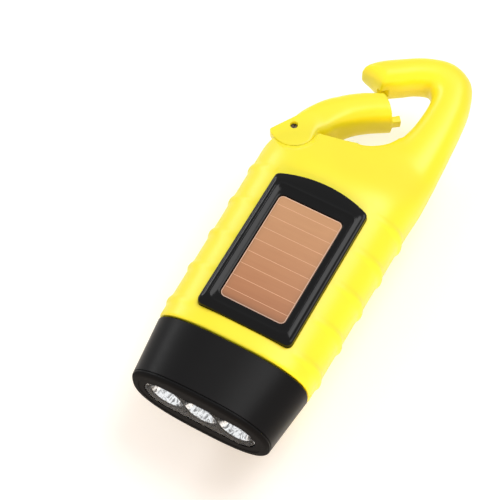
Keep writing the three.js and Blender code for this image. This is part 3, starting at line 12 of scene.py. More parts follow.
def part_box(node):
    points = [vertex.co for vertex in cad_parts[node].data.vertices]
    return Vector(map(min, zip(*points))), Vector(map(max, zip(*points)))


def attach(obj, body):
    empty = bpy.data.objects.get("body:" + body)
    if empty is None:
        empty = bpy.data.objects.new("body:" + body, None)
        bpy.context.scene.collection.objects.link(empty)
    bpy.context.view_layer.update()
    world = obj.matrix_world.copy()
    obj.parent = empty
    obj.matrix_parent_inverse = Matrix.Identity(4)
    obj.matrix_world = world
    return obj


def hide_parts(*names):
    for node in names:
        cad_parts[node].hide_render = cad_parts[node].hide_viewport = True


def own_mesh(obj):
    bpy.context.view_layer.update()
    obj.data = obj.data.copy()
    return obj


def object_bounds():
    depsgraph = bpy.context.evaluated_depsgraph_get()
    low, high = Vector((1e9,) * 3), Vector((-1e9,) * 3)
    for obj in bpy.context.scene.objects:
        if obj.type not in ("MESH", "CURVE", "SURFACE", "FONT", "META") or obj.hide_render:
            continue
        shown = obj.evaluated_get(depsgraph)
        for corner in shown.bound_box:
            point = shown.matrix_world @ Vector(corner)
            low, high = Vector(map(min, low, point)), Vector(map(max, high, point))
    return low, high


bl_info = {
    "name": "Hand crank flashlight",
    "version": (1, 0, 0),
    "blender": (4, 5, 0),
    "location": "3D View > Sidebar > Flashlight",
    "description": "Makes the moulded, plated and turned pieces of a hand crank flashlight",
    "category": "Add Mesh",
}

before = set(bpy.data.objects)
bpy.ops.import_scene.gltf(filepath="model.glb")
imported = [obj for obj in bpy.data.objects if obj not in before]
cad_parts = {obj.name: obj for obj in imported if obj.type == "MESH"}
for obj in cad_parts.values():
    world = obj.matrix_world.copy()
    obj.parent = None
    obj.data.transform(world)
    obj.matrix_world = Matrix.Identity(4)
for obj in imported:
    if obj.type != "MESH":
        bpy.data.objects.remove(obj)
CAD_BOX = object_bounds()
MM = 0.001
LENS_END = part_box("head_cap")[0].y
MIDPLANE = (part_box("gate")[0].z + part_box("gate")[1].z) / 2
LED_NODES = ("led_left", "led_center", "led_right")
SCREW_NODES = ("case_screw_1", "case_screw_2", "case_screw_3", "case_screw_4")


def box_of(node):
    """The corners of a frame node, in millimetres from the lens end and the parting plane."""
    shift = Vector((0, LENS_END, MIDPLANE))
    return [(corner - shift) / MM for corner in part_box(node)]


def middle_of(node):
    """The middle of a frame node's box, in the same millimetres."""
    return [(a + b) / 2 for a, b in zip(*box_of(node))]


def linear(code):
    """A hex colour as linear red, green and blue."""
    shares = [int(code[i : i + 2], 16) / 255 for i in (1, 3, 5)]
    return [s / 12.92 if s <= 0.04045 else ((s + 0.055) / 1.055) ** 2.4 for s in shares]


def ramp(value, start, end):
    """How far a value is from start to end: 0 before the start and 1 past the end."""
    return min(max((value - start) / (end - start), 0), 1)


def quarter(steps):
    """Evenly spread angles of a quarter turn."""
    return [math.pi / 2 * i / steps for i in range(steps + 1)]


# Sizes and colours that a user may change


def length(name, description, default):
    """A length in metres, from its default in millimetres."""
    return FloatProperty(name=name, description=description, default=default * MM, unit="LENGTH")


def how_many(name, description, default):
    """A number of like things. There are at least two, because they are spread from end to end."""
    return IntProperty(name=name, description=description, default=default, min=2)


def power(name, description, default):
    """A lamp's power in watts."""
    return FloatProperty(name=name, description=description, default=default, unit="POWER")


def colour(name, description, code):
    """A linear colour, from its default as a hex value."""
    return FloatVectorProperty(
        name=name,
        description=description,
        subtype="COLOR",
        size=3,
        min=0,
        max=1,
        default=linear(code),
    )


class CaseSizes(bpy.types.PropertyGroup):
    half_width: length("Half width", "From the middle of the case to its side", 23)
    half_thick: length("Half thickness", "From the parting plane to the flat face", 11.4)
    flare: length("Shoulder flare", "How far the shoulder stands out past the side", 1.2)
    hook_half_thick: length("Hook half thickness", "Half the thickness of hook and gate", 6.3)
    rib_height: length("Rib height", "How far a grip rib stands out", 0.6)
    rib_count: how_many("Ribs", "Grip ribs on each side", 5)
    detail: length("Mesh detail", "Size of the mesh's faces on the case", 0.45)
    gate_detail: length("Gate mesh detail", "Size of the mesh's faces on the gate", 0.28)
    seam: length("Seam", "Width of the line where the two halves meet", 0.04)


class PanelSizes(bpy.types.PropertyGroup):
    line_count: how_many("Lines", "Light lines across the cell", 8)
    line_width: length("Line width", "Width of a printed line", 0.13)
    border_width: length("Border width", "Width of the light line round the cell", 0.2)
    lip: length("Lip", "Height of the frame's edge over the cell", 0.45)


class Finishes(bpy.types.PropertyGroup):
    shell: colour("Case", "Yellow of the moulded case", "#ffee2a")
    cap: colour("Cap and crank", "Black of the satin pieces", "#101011")
    gloss: colour("Panel frame", "Black of the polished frame", "#060607")
    cell: colour("Cell", "Brown of the solar cell", "#ce9e75")
    # The cell is drawn redder and darker towards the lens end; this is its colour there
    cell_red: colour("Cell, redder", "Brown of the cell nearer the lens end", "#a06f53")
    line: colour("Cell lines", "Colour of the printed lines", "#dfb18f")
    border: colour("Cell border", "Colour of the line round the cell", "#e9c5ae")


class StageSizes(bpy.types.PropertyGroup):
    floor: colour("Floor", "Colour of the floor", "#f7f7f7")
    key: power("Key light", "Power of the light overhead", 4.05)
    fill: power("Warm light", "Power of the warm light thrown back from below", 6.0)
    side: power("Side light", "Power of the strip at the left", 1.6)
    sky: FloatProperty(name="Sky", description="Level of the light from all round", default=0.45)


def sizes(group):
    """A group of sizes in the scene."""
    return getattr(bpy.context.scene, "flashlight_" + group)


# Shapes in millimetres

# Places along the case, from the lens end
CAP_END = 18.2
BODY_START = 18.5
FLAT_END = 74.0
SLOPE_LENGTH = 26.1
CLIP_START = 84.0
CLIP_LENGTH = 46.0

# Clearances: round what moves, round what is fixed, and round a turning fit
GAP = 0.3
SEAT = 0.1
RUN = 0.08

# How far a cutter goes on past what it cuts
BEYOND = 2.0

# The case: how square its sections are, and the radius of a screw's boss, hole and head
BODY_SQUARENESS = 3
CAP_SQUARENESS = 2.6
SCREW_BOSS = 2.7
SCREW_HOLE = 1.35
SCREW_HEAD = 2.1

# The lens end: the cap's rounded rim, the radius of a bowl's mouth and that of its LED's hole
CAP_EDGE = 1.2
BOWL = 4.95
LED_HOLE = 3.0

# The crank: the holes for its shaft and for the knob's pin, and the radius of the knob's end
SHAFT_HOLE = 2.58
PIN_HOLE = 1.33
KNOB_CAP = 3.3

# Shares of the half thickness and of the flare, at shares of the way down the slope
THICK_SHARES = [
    (0, 1),
    (0.15, 0.965),
    (0.31, 0.87),
    (0.46, 0.765),
    (0.61, 0.675),
    (0.76, 0.585),
    (0.88, 0.46),
    (1, 0.3),
]
FLARE_SHARES = [(0, 0.6), (0.31, 1), (0.46, 1), (0.76, 0.8), (0.88, 0.2), (1, -2)]

# Edges of the hook, the loop, the shoulder and the gate, in shares of the half width and of the
# clip's length
HOOK_OUTER = [
    (1.043, -0.109),
    (1.048, 0.087),
    (1.039, 0.239),
    (1.017, 0.437),
    (0.996, 0.593),
    (0.948, 0.767),
    (0.813, 0.926),
    (0.522, 0.998),
    (0.183, 0.963),
    (-0.1, 0.883),
    (-0.387, 0.778),
    (-0.491, 0.702),
    (-0.47, 0.6),
]
HOOK_INNER = [
    (0.174, -0.109),
    (0.239, 0.109),
    (0.339, 0.272),
    (0.435, 0.446),
    (0.465, 0.565),
    (0.465, 0.687),
    (0.43, 0.741),
    (0.352, 0.77),
    (0.2, 0.743),
    (0.065, 0.693),
    (-0.1, 0.635),
    (-0.161, 0.596),
    (-0.178, 0.539),
]
LOOP_FLOOR = [
    (-0.461, 0.087),
    (-0.37, 0.095),
    (-0.157, 0.118),
    (-0.026, 0.136),
    (0.13, 0.176),
    (0.217, 0.213),
    (0.287, 0.259),
    (0.343, 0.313),
    (0.387, 0.373),
]
SHOULDER = [
    (-1.04, -0.26),
    (-1.035, -0.2),
    (-1.015, -0.14),
    (-0.985, -0.09),
    (-0.95, -0.05),
    (-0.925, 0.02),
    (-0.91, 0.12),
]
GATE_OUTER = [
    (-1.0457, -0.0043),
    (-0.9283, 0.1033),
    (-0.8478, 0.2207),
    (-0.7087, 0.3457),
    (-0.563, 0.4337),
    (-0.3652, 0.512),
    (-0.2043, 0.5565),
    (0.013, 0.6109),
]
GATE_INNER = [
    (-0.5914, -0.0434),
    (-0.5309, 0.098),
    (-0.4482, 0.1369),
    (-0.3326, 0.2293),
    (-0.1717, 0.312),
    (-0.0283, 0.3685),
    (0.0978, 0.4076),
    (0.2569, 0.4586),
]
EAR_EDGE = [(-1.0457, -0.0043), (-0.7965, 0.1989)]

# How square the sections of the hook and of the gate are, at their first and last ends
HOOK_SQUARENESS = (2.6, 2.6)
GATE_SQUARENESS = (8, 3)

# The gate: its pin, its reach from the pin, its ears, its nub, and the angle at which it is closed
PIN = (-18.8, 87.6)
PIN_RADIUS = 1.0
GATE_REACH = 28.4
TIP_GAP = 0.3
EAR_RADIUS = 7.0
EAR_TOP = 6.55
EAR_INNER = 3.5
NUB = {"start": 36.1, "reach": 2.7, "width": 2.3, "half_thick": 1.5}
CLOSED = 20.0

# The hook's nose, from the gate's pin: the angle of its middle, half its sweep, and its round
NOSE_ANGLE = 66.0
NOSE_SWEEP = 20.0
NOSE_ROUND = 4.0


def half_width():
    return sizes("case").half_width / MM


def half_thick():
    return sizes("case").half_thick / MM


def clip_point(share):
    """A place on the clip from its shares of the half width and of the clip's length."""
    return (half_width() * share[0], CLIP_START + CLIP_LENGTH * share[1])


def smooth(rows, place):
    """Reads a smooth curve through rows of place and value."""
    if place <= rows[0][0]:
        return rows[0][1]
    if place >= rows[-1][0]:
        return rows[-1][1]
    i = next(k for k in range(1, len(rows)) if place <= rows[k][0])

    def slope(k):
        if k == 0:
            return 0
        before, after = rows[k - 1], rows[min(k + 1, len(rows) - 1)]
        return (after[1] - before[1]) / (after[0] - before[0])

    (x0, v0), (x1, v1) = rows[i - 1], rows[i]
    run = x1 - x0
    t = (place - x0) / run
    a, b = slope(i - 1) * run, slope(i) * run
    return (
        v0 * (2 * t**3 - 3 * t**2 + 1)
        + a * (t**3 - 2 * t**2 + t)
        + v1 * (3 * t**2 - 2 * t**3)
        + b * (t**3 - t**2)
    )


def curve(points, steps):
    """Places on a smooth, centripetal curve through points, evenly many between each two."""
    known = [Vector((*p, 0)) for p in points]
    known = [2 * known[0] - known[1], *known, 2 * known[-1] - known[-2]]
    made = []
    for k in range(steps + 1):
        place = (len(points) - 1) * k / steps
        i = min(int(place), len(points) - 2)
        t = place - i
        p0, p1, p2, p3 = known[i : i + 4]
        d0, d1, d2 = [math.sqrt((b - a).length) for a, b in ((p0, p1), (p1, p2), (p2, p3))]
        m1 = ((p1 - p0) / d0 - (p2 - p0) / (d0 + d1) + (p2 - p1) / d1) * d1
        m2 = ((p2 - p1) / d1 - (p3 - p1) / (d1 + d2) + (p3 - p2) / d2) * d1
        point = (
            p1 * (2 * t**3 - 3 * t**2 + 1)
            + m1 * (t**3 - 2 * t**2 + t)
            + p2 * (3 * t**2 - 2 * t**3)
            + m2 * (t**3 - t**2)
        )
        made.append((point.x, point.y))
    return made


def squared(a, b, squareness, turn):
    """A point of a squared ellipse."""
    c, s = math.cos(turn), math.sin(turn)
    power = 2 / squareness
    return (
        a * math.copysign(abs(c) ** power, c),
        b * math.copysign(abs(s) ** power, s),
    )


def body_thick(y):
    """Half the case's thickness at a place along it."""
    return half_thick() * smooth(THICK_SHARES, (y - FLAT_END) / SLOPE_LENGTH)


def body_width(y):
    """Half the case's width at a place along it."""
    flare = sizes("case").flare / MM
    if y <= FLAT_END:
        way = (y - BODY_START) / (FLAT_END - BODY_START)
        return half_width() + flare * FLARE_SHARES[0][1] * way
    return half_width() + flare * smooth(FLARE_SHARES, (y - FLAT_END) / SLOPE_LENGTH)


def section(y, a, b, squareness, count=96):
    """A squared section across the case."""
    turns = [2 * math.pi * i / count for i in range(count)]
    return [(x, y, z) for x, z in (squared(a, b, squareness, t) for t in turns)]


def section_height(y, x):
    """Height of the case's face at a place."""
    share = min(abs(x) / body_width(y), 1)
    return body_thick(y) * (1 - share**BODY_SQUARENESS) ** (1 / BODY_SQUARENESS)


def cap_section(y, inset, count=96):
    """A section of the cap, which widens and thins a little towards the case."""
    way = y / CAP_END
    a = half_width() - 2.3 + 2.2 * way
    b = half_thick() + 0.8 - 0.3 * way
    return section(y, a - inset, b - inset, CAP_SQUARENESS, count)


def stadium(a, b, steps=16):
    """A bar with round ends, as an outline in X and Z."""
    outline = []
    for side in (1, -1):
        for i in range(steps + 1):
            turn = math.pi * i / steps - side * math.pi / 2
            outline.append((side * (a - b) + b * math.cos(turn), b * math.sin(turn)))
    return outline


def polar(radius, degrees):
    """A place round the gate's pin."""
    turn = math.radians(degrees)
    return (PIN[0] + radius * math.cos(turn), PIN[1] + radius * math.sin(turn))


def sector(r0, r1, a0, a1, steps=12):
    """A piece of a ring round the gate's pin, or of a disc where r0 is 0."""
    turns = [a0 + (a1 - a0) * i / steps for i in range(steps + 1)]
    low = [PIN] if r0 == 0 else [polar(r0, a) for a in turns]
    return low + [polar(r1, a) for a in reversed(turns)]


# Solids


def in_scene(name, data):
    """An object for some data, in the scene."""
    obj = bpy.data.objects.new(name, data)
    bpy.context.scene.collection.objects.link(obj)
    return obj


def solid(points, faces):
    """An object in the scene with a closed mesh, its faces out."""
    mesh = bpy.data.meshes.new("solid")
    mesh.from_pydata(points, [], faces)
    made = bmesh.new()
    made.from_mesh(mesh)
    bmesh.ops.remove_doubles(made, verts=made.verts, dist=1e-5)
    bmesh.ops.recalc_face_normals(made, faces=made.faces)
    made.to_mesh(mesh)
    made.free()
    return in_scene("solid", mesh)


def loft(rings, band=False):
    """A skin over rings of as many points each, closed by flat ends, or end to end for a band."""
    count = len(rings[0])
    faces = []
    for r in range(len(rings) if band else len(rings) - 1):
        low, high = r * count, (r + 1) % len(rings) * count
        for i in range(count):
            j = (i + 1) % count
            faces.append((low + i, low + j, high + j, high + i))
    if not band:
        faces.append(tuple(reversed(range(count))))
        faces.append(tuple(range(len(rings) * count - count, len(rings) * count)))
    return solid([p for ring in rings for p in ring], faces)


def prism(outline, z0, z1):
    """An outline in X and Y between two heights."""
    return loft([[(x, y, z) for x, y in outline] for z in (z0, z1)])


def prism_y(outline, y0, y1):
    """An outline in X and Z between two places along the case."""
    return loft([[(x, y, z) for x, z in outline] for y in (y0, y1)])


def block(x0, x1, y0, y1, z0, z1):
    return prism([(x0, y0), (x1, y0), (x1, y1), (x0, y1)], z0, z1)


def lathe(profile, at=(0, 0, 0), axis="Z", sides=48, ring=False):
    """A profile of (radius, height) turned about an axis, its ends joined where it is a ring."""
    x, y, z = at
    rings = []
    for radius, height in profile:
        row = []
        for i in range(sides):
            turn = 2 * math.pi * i / sides
            u, v = radius * math.cos(turn), radius * math.sin(turn)
            place = {"X": (height, u, v), "Y": (v, height, u), "Z": (u, v, height)}[axis]
            row.append((x + place[0], y + place[1], z + place[2]))
        rings.append(row)
    return loft(rings, ring)


def rod(x, y, z0, z1, radius, sides=48):
    """A round bar along Z between two heights, given in either order."""
    z0, z1 = sorted((z0, z1))
    return lathe([(radius, z0), (radius, z1)], (x, y, 0), sides=sides)


def rounded(radius, low, high, edge, steps=4):
    """The profile of a solid disc with rounded edges."""
    arc = quarter(steps)
    top = [(radius - edge + edge * math.cos(t), high - edge + edge * math.sin(t)) for t in arc]
    bottom = [(r, low + high - h) for r, h in reversed(top)]
    return [(0, low), *bottom, *top, (0, high)]


def apply(obj):
    """Puts the result of an object's modifiers in its mesh."""
    graph = bpy.context.evaluated_depsgraph_get()
    mesh = bpy.data.meshes.new_from_object(obj.evaluated_get(graph))
    obj.modifiers.clear()
    obj.data = mesh
    return obj


def combine(base, operation, *others):
    """Joins solids to a base, or cuts them from it."""
    for other in others:
        change = base.modifiers.new("change", "BOOLEAN")
        change.operation = operation
        change.solver = "MANIFOLD"
        change.object = other
    apply(base)
    for other in others:
        bpy.data.objects.remove(other)
    return base


def cut(base, *others):
    return combine(base, "DIFFERENCE", *others)


def join(base, *others):
    return combine(base, "UNION", *others)


def soften(obj, rounds, group=""):
    """Smooths a mesh, or only a group of its points, each by its weight in the group."""
    change = obj.modifiers.new("soften", "SMOOTH")
    change.factor = 0.5
    change.iterations = rounds
    change.vertex_group = group
    return apply(obj)


def moulded(obj, size, rounds):
    """Rounds every edge and corner a little, as they are where melted plastic fills a mould."""
    remesh = obj.modifiers.new("remesh", "REMESH")
    remesh.mode = "VOXEL"
    remesh.voxel_size = size
    return soften(obj, rounds)


def eased(obj, rounds, weight):
    """Smooths a mesh by a weight that is worked out for each of its points."""
    group = obj.vertex_groups.new(name="eased")
    for point in obj.data.vertices:
        share = weight(*point.co)
        if share > 0.02:
            group.add([point.index], share, "REPLACE")
    soften(obj, rounds, group.name)
    obj.vertex_groups.clear()
    return obj


def finish(obj, name, body, material, nodes=(), sharp=35):
    """Moves a solid into the frame, names and shades it, and lets it ride and replace its nodes."""
    obj.name = name
    obj.data.name = name
    obj.data.transform(Matrix.Translation((0, LENS_END, MIDPLANE)) @ Matrix.Scale(MM, 4))
    obj.data.shade_smooth()
    obj.data.set_sharp_from_angle(angle=math.radians(sharp))
    obj.data.materials.clear()
    obj.data.materials.append(material)
    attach(obj, body)
    if nodes:
        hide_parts(*nodes)
    return obj


# Materials


def add(tree, kind, values=None, links=None, **settings):
    """Adds a node with its settings, its sockets' values and its links."""
    made = tree.nodes.new(kind)
    for key, value in settings.items():
        setattr(made, key, value)
    for key, value in (values or {}).items():
        made.inputs[key].default_value = value
    for key, source in (links or {}).items():
        tree.links.new(source, made.inputs[key])
    return made


def per(size):
    """A texture's scale from the size of its pattern in millimetres."""
    return 1 / (size * MM)


# Size in millimetres of the patches in which a moulded or plated surface drifts
PATCH = 14


def surface(name, tint, roughness, grain, depth, spread=0.04, edge=0.2, **shader):
    """A material with a tint that drifts a little, a fine grain and softened edges.

    tint is a linear colour, or a function that makes its nodes and gives their socket. grain is the
    size of the grain, depth its height and edge the radius of the softened edges, in millimetres.
    spread is how far the roughness drifts, and shader holds the shader's own values.
    """
    material = bpy.data.materials.get(name)
    if material:
        return material
    material = bpy.data.materials.new(name)
    material.use_nodes = True
    tree = material.node_tree
    tree.nodes.clear()
    place = add(tree, "ShaderNodeTexCoord").outputs["Object"]
    drift = add(tree, "ShaderNodeTexNoise", {"Scale": per(PATCH), "Detail": 3}, {"Vector": place})
    levels = {"To Min": roughness - spread, "To Max": roughness + spread}
    gloss = add(tree, "ShaderNodeMapRange", levels, {"Value": drift.outputs["Fac"]})
    fine = add(tree, "ShaderNodeTexNoise", {"Scale": per(grain), "Detail": 2}, {"Vector": place})
    soft = add(tree, "ShaderNodeBevel", {"Radius": edge * MM}, samples=6)
    bump = add(
        tree,
        "ShaderNodeBump",
        {"Strength": 1, "Distance": depth * MM},
        {"Height": fine.outputs["Fac"], "Normal": soft.outputs["Normal"]},
    )
    wired = {"Roughness": gloss.outputs["Result"], "Normal": bump.outputs["Normal"]}
    if callable(tint):
        wired["Base Color"] = tint(tree, place)
    else:
        shift = 0.04
        light = [min(c * (1 + shift), 1) for c in tint]
        dark = [c * (1 - shift) for c in tint]
        mix = add(tree, "ShaderNodeMix", {6: (*dark, 1), 7: (*light, 1)}, data_type="RGBA")
        tree.links.new(drift.outputs["Fac"], mix.inputs[0])
        wired["Base Color"] = mix.outputs[2]
    values = {key.replace("_", " ").title().replace("Ior", "IOR"): v for key, v in shader.items()}
    body = add(tree, "ShaderNodeBsdfPrincipled", values, wired)
    add(tree, "ShaderNodeOutputMaterial", None, {"Surface": body.outputs[0]})
    return material


def shell_abs():
    """Yellow ABS from a polished mould: an even satin gloss, like orange peel up close."""
    tint = tuple(sizes("finish").shell)
    return surface("abs_yellow_moulded", tint, 0.36, 0.9, 0.004, ior=1.53, edge=0.3)


def satin_abs():
    """Black ABS from a fine blasted mould: it spreads light into broad soft bands."""
    tint = tuple(sizes("finish").cap)
    return surface("abs_black_satin", tint, 0.36, 0.25, 0.005, ior=1.5, specular_ior_level=0.1)


def blasted_abs():
    """The same black ABS from a coarser blasted mould: the duller face round the lens."""
    tint = linear("#101011")
    return surface("abs_black_blasted", tint, 0.85, 0.2, 0.008, ior=1.5, specular_ior_level=0.1)


def gloss_abs():
    """Black ABS from a mirror polished mould: nearly black, with thin bright lines at its edges."""
    tint = tuple(sizes("finish").gloss)
    return surface("abs_black_polished", tint, 0.13, 1.6, 0.002, ior=1.5, specular_ior_level=0.16)


def clear_pc():
    """Clear polycarbonate, polished: the lens. Its low IOR keeps the bowls behind it in place."""
    return surface(
        "polycarbonate_clear",
        linear("#fbfdfe"),
        0.04,
        3,
        0.0004,
        spread=0.01,
        transmission_weight=1.0,
        ior=1.06,
        specular_ior_level=0.1,
    )


def plated():
    """Aluminium evaporated on a bowl: a bright mirror, with painted reflections in its colour.

    Streaks of painted light and dark stand in for what dimples about 1 mm wide would reflect;
    they are drawn twice as coarse, so that the render shows them.
    """

    def tint(tree, place):
        # Painted reflections: noise that mixes a dark and a light grey into the mirror's colour
        painted_reflections = add(
            tree,
            "ShaderNodeTexNoise",
            {"Scale": per(2.2), "Detail": 5.0, "Roughness": 0.62, "Distortion": 2.2},
            {"Vector": place},
        )
        share = add(
            tree,
            "ShaderNodeMapRange",
            {"From Min": 0.37, "From Max": 0.53},
            {"Value": painted_reflections.outputs[0]},
        )
        # The dark and light greys of the painted reflections
        dark, light = linear("#5b5d60"), linear("#fafbfc")
        mix = add(
            tree,
            "ShaderNodeMix",
            {6: (*dark, 1), 7: (*light, 1)},
            {0: share.outputs["Result"]},
            data_type="RGBA",
        )
        return mix.outputs[2]

    return surface("aluminium_painted_reflections", tint, 0.12, 0.9, 0.05, spread=0.05, metallic=1.0)


def led_epoxy():
    """Cast clear epoxy, very slightly milky."""
    return surface(
        "epoxy_clear_cast",
        linear("#aeb2b4"),
        0.1,
        2,
        0.0006,
        spread=0.02,
        transmission_weight=0.9,
        ior=1.5,
    )


def phosphor():
    """Phosphor paste over the die: matt and yellow."""
    return surface("phosphor_paste", linear("#f2e24a"), 0.7, 0.2, 0.01)


def cell_film():
    """Amorphous silicon film under clear resin: copper brown, with fine streaks across it.

    It is drawn redder and darker towards the lens end.
    """
    near, far = sizes("finish").cell, sizes("finish").cell_red

    def tint(tree, place):
        low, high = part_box("solar_cell")
        apart = add(tree, "ShaderNodeSeparateXYZ", None, {0: place})
        across = add(
            tree,
            "ShaderNodeMapRange",
            {"From Min": high.y, "From Max": low.y},
            {"Value": apart.outputs["Y"]},
        )
        drawn = add(
            tree, "ShaderNodeVectorMath", {1: (0.1, 1, 1)}, {0: place}, operation="MULTIPLY"
        )
        streak = add(
            tree,
            "ShaderNodeTexNoise",
            {"Scale": per(1.2), "Detail": 3},
            {"Vector": drawn.outputs[0]},
        )
        share = add(
            tree,
            "ShaderNodeMath",
            {1: 0.8},
            {0: across.outputs["Result"]},
            operation="MULTIPLY",
        )
        both = add(
            tree,
            "ShaderNodeMath",
            {1: 0.2},
            {0: streak.outputs["Fac"], 2: share.outputs[0]},
            operation="MULTIPLY_ADD",
        )
        mix = add(
            tree,
            "ShaderNodeMix",
            {6: (*near, 1), 7: (*far, 1)},
            {0: both.outputs[0]},
            data_type="RGBA",
        )
        return mix.outputs[2]

    return surface("silicon_film_under_resin", tint, 0.5, 0.15, 0.002, specular_ior_level=0.2)


def silver_paste():
    """Screen printed silver paste: the light lines on the cell."""
    tint = tuple(sizes("finish").line)
    return surface("silver_paste_printed", tint, 0.5, 0.1, 0.002, edge=0.02)


def border_paste():
    """The same paste round the cell's edge, where it is thicker and paler."""
    tint = tuple(sizes("finish").border)
    return surface("silver_paste_border", tint, 0.5, 0.1, 0.002, edge=0.02)


def board_resin():
    """Glass fibre board under green solder mask: the weave shows as faint squares."""
    return surface("glass_fibre_green", linear("#1f5a34"), 0.4, 0.6, 0.01)


def zinc_steel():
    """Steel, zinc plated: bright, with soft reflections."""
    tint = linear("#b9bbbd")
    return surface("steel_zinc_plated", tint, 0.3, 0.3, 0.004, metallic=1.0, edge=0.08)


def steel_painted_shade():
    """Steel with the shade of its hole painted into its colour as a dark greyish brown: the gate's
    pin.
    """
    # Painted shade: the dark greyish brown of a pin that sits deep in its hole
    tint = linear("#5f554b")
    return surface("steel_pin_painted_shade", tint, 0.4, 0.3, 0.006, metallic=1.0, edge=0.06)


def turned_brass():
    """Brass, turned: a warm bright metal."""
    return surface("brass_turned", linear("#c79a4c"), 0.28, 0.2, 0.004, metallic=1.0, edge=0.08)


def natural_nylon():
    """Natural nylon, moulded: milky and soft."""
    return surface(
        "nylon_natural",
        linear("#e6e1d3"),
        0.45,
        0.5,
        0.006,
        subsurface_weight=0.15,
        subsurface_scale=0.002,
    )


def bonded_ferrite():
    """Ferrite powder bonded in plastic: dark grey and dull."""
    return surface("ferrite_bonded", linear("#35363a"), 0.6, 0.3, 0.01)


def copper_wire():
    """Enamelled copper wire in close turns of 0.2 mm: red brown, with a fine grain."""
    return surface("copper_enamelled", linear("#b4552a"), 0.25, 0.2, 0.03, metallic=1.0)


def iron_sheets():
    """Laminated soft iron: dull grey sheets."""
    return surface("iron_laminated", linear("#6c6e72"), 0.4, 0.5, 0.02, metallic=1.0)


# Pieces


def case_whole():
    """The case, its ribs and its hook in one, before it is parted."""
    flat = [BODY_START + GAP + i * 1.5 for i in range(37)]
    slope = [FLAT_END + i * 0.9 for i in range(30)]
    start = (body_width(BODY_START) - GAP, half_thick() - GAP)
    rings = [section(BODY_START, *start, BODY_SQUARENESS)]
    rings += [section(y, body_width(y), body_thick(y), BODY_SQUARENESS) for y in flat + slope]
    body = loft(rings)
    far = 2 * half_width()
    end = CLIP_START + CLIP_LENGTH
    loop = curve([clip_point(p) for p in LOOP_FLOOR], 60)
    left, right = loop[0][0] - GAP, loop[-1][0]
    loop += [(right, end), (-far, end), (-far, PIN[1]), PIN, (left, PIN[1])]
    shoulder = curve([clip_point(p) for p in SHOULDER], 40)
    shoulder += [(-far, shoulder[-1][1]), (-far, shoulder[0][1])]
    reach = half_thick() + BEYOND
    cut(body, prism(loop, -reach, reach), prism(shoulder, -reach, reach))
    join(body, *ribs(), hook())
    moulded(body, sizes("case").detail / MM, 6)
    thick = sizes("case").hook_half_thick / MM
    crease = next(y / 10 for y in range(740, 1000) if body_thick(y / 10) < thick)
    reach = 6

    def weight(x, y, z):
        """Where the slope of the body runs into the hook, but not on its outline."""
        if x <= 0:
            return 0
        near = math.exp(-(((y - crease) / reach) ** 2))
        return ramp(abs(z), 0.45 * thick, 0.75 * thick) * near

    return eased(body, 160, weight)


def ribs():
    """Grip ribs round both sides of the case, from one face to the other."""
    height = sizes("case").rib_height / MM
    count = sizes("case").rib_count
    first, last = BODY_START + 5.5, FLAT_END - 3.7
    inner = half_width() - 8
    shape = [(-1.2, 0), (-0.6, height), (0.6, height), (1.2, 0)]
    made = []
    for i in range(count):
        middle = first + i * (last - first) / (count - 1)
        rings = []
        for along, out in shape:
            y = middle + along
            rings.append(section(y, body_width(y) + out, body_thick(y), BODY_SQUARENESS))
        core = block(-inner, inner, 0, CLIP_START, -half_thick(), half_thick())
        made.append(cut(loft(rings), core))
    return made


def bar(edges, thick, squareness, stations, count=56, blend=0.55):
    """A bar with squared round sections between two edge curves.

    Its squareness goes from the first value to the last over a share of its length, blend.
    """
    rings = []
    outer, inner = (curve([clip_point(p) for p in edge], stations) for edge in edges)
    first, last = squareness
    for k, ((ox, oy), (ix, iy)) in enumerate(zip(outer, inner)):
        middle, reach = ((ox + ix) / 2, (oy + iy) / 2), ((ox - ix) / 2, (oy - iy) / 2)
        here = first + (last - first) * min(k / stations / blend, 1)
        ring = []
        for i in range(count):
            w, z = squared(1, thick, here, 2 * math.pi * i / count)
            ring.append((middle[0] + reach[0] * w, middle[1] + reach[1] * w, z))
        rings.append(ring)
    return loft(rings)


def hook():
    """The hook's arm and bend, up to its rounded nose."""
    thick = sizes("case").hook_half_thick / MM
    arm = bar((HOOK_OUTER, HOOK_INNER), thick, HOOK_SQUARENESS, 96)
    wedge = []
    for degrees in range(-90, 91, 9):
        share = math.sin(math.radians(degrees)) * 1.01
        drop = 1 - math.sqrt(max(1 - share**2, 0))
        radius = GATE_REACH + TIP_GAP + NOSE_ROUND * drop
        outline = sector(0, radius, NOSE_ANGLE - NOSE_SWEEP, NOSE_ANGLE + NOSE_SWEEP, 24)
        wedge.append([(x, y, thick * share) for x, y in outline])
    return cut(arm, loft(wedge))


def nub_slot():
    """The slot in the nose that takes the gate's nub."""
    radius = GATE_REACH + NUB["reach"]
    turn = math.degrees(NUB["width"] / radius)
    start = NUB["start"] + CLOSED
    stop = start + turn + math.degrees(GAP / (GATE_REACH + TIP_GAP))
    outline = sector(GATE_REACH + TIP_GAP - BEYOND, radius + TIP_GAP, start - 3 * turn, stop)
    depth = NUB["half_thick"] + GAP
    return prism(outline, -depth, depth)


def outside_gate_edge(turn, behind):
    """What lies outside the ears' straight edge, with the gate turned by some degrees."""
    pin = Vector((*PIN, 0))
    spin = Matrix.Rotation(math.radians(turn), 3, "Z")
    p, q = (spin @ (Vector((*clip_point(s), 0)) - pin) + pin for s in EAR_EDGE)
    way = (q - p).normalized()
    out = Vector((-way.y, way.x, 0)) * 2 * EAR_RADIUS
    a, b = p - way * behind, q + way * 2 * EAR_RADIUS
    return prism([v.xy for v in (a, b, b + out, a + out)], -2 * EAR_TOP, 2 * EAR_TOP)


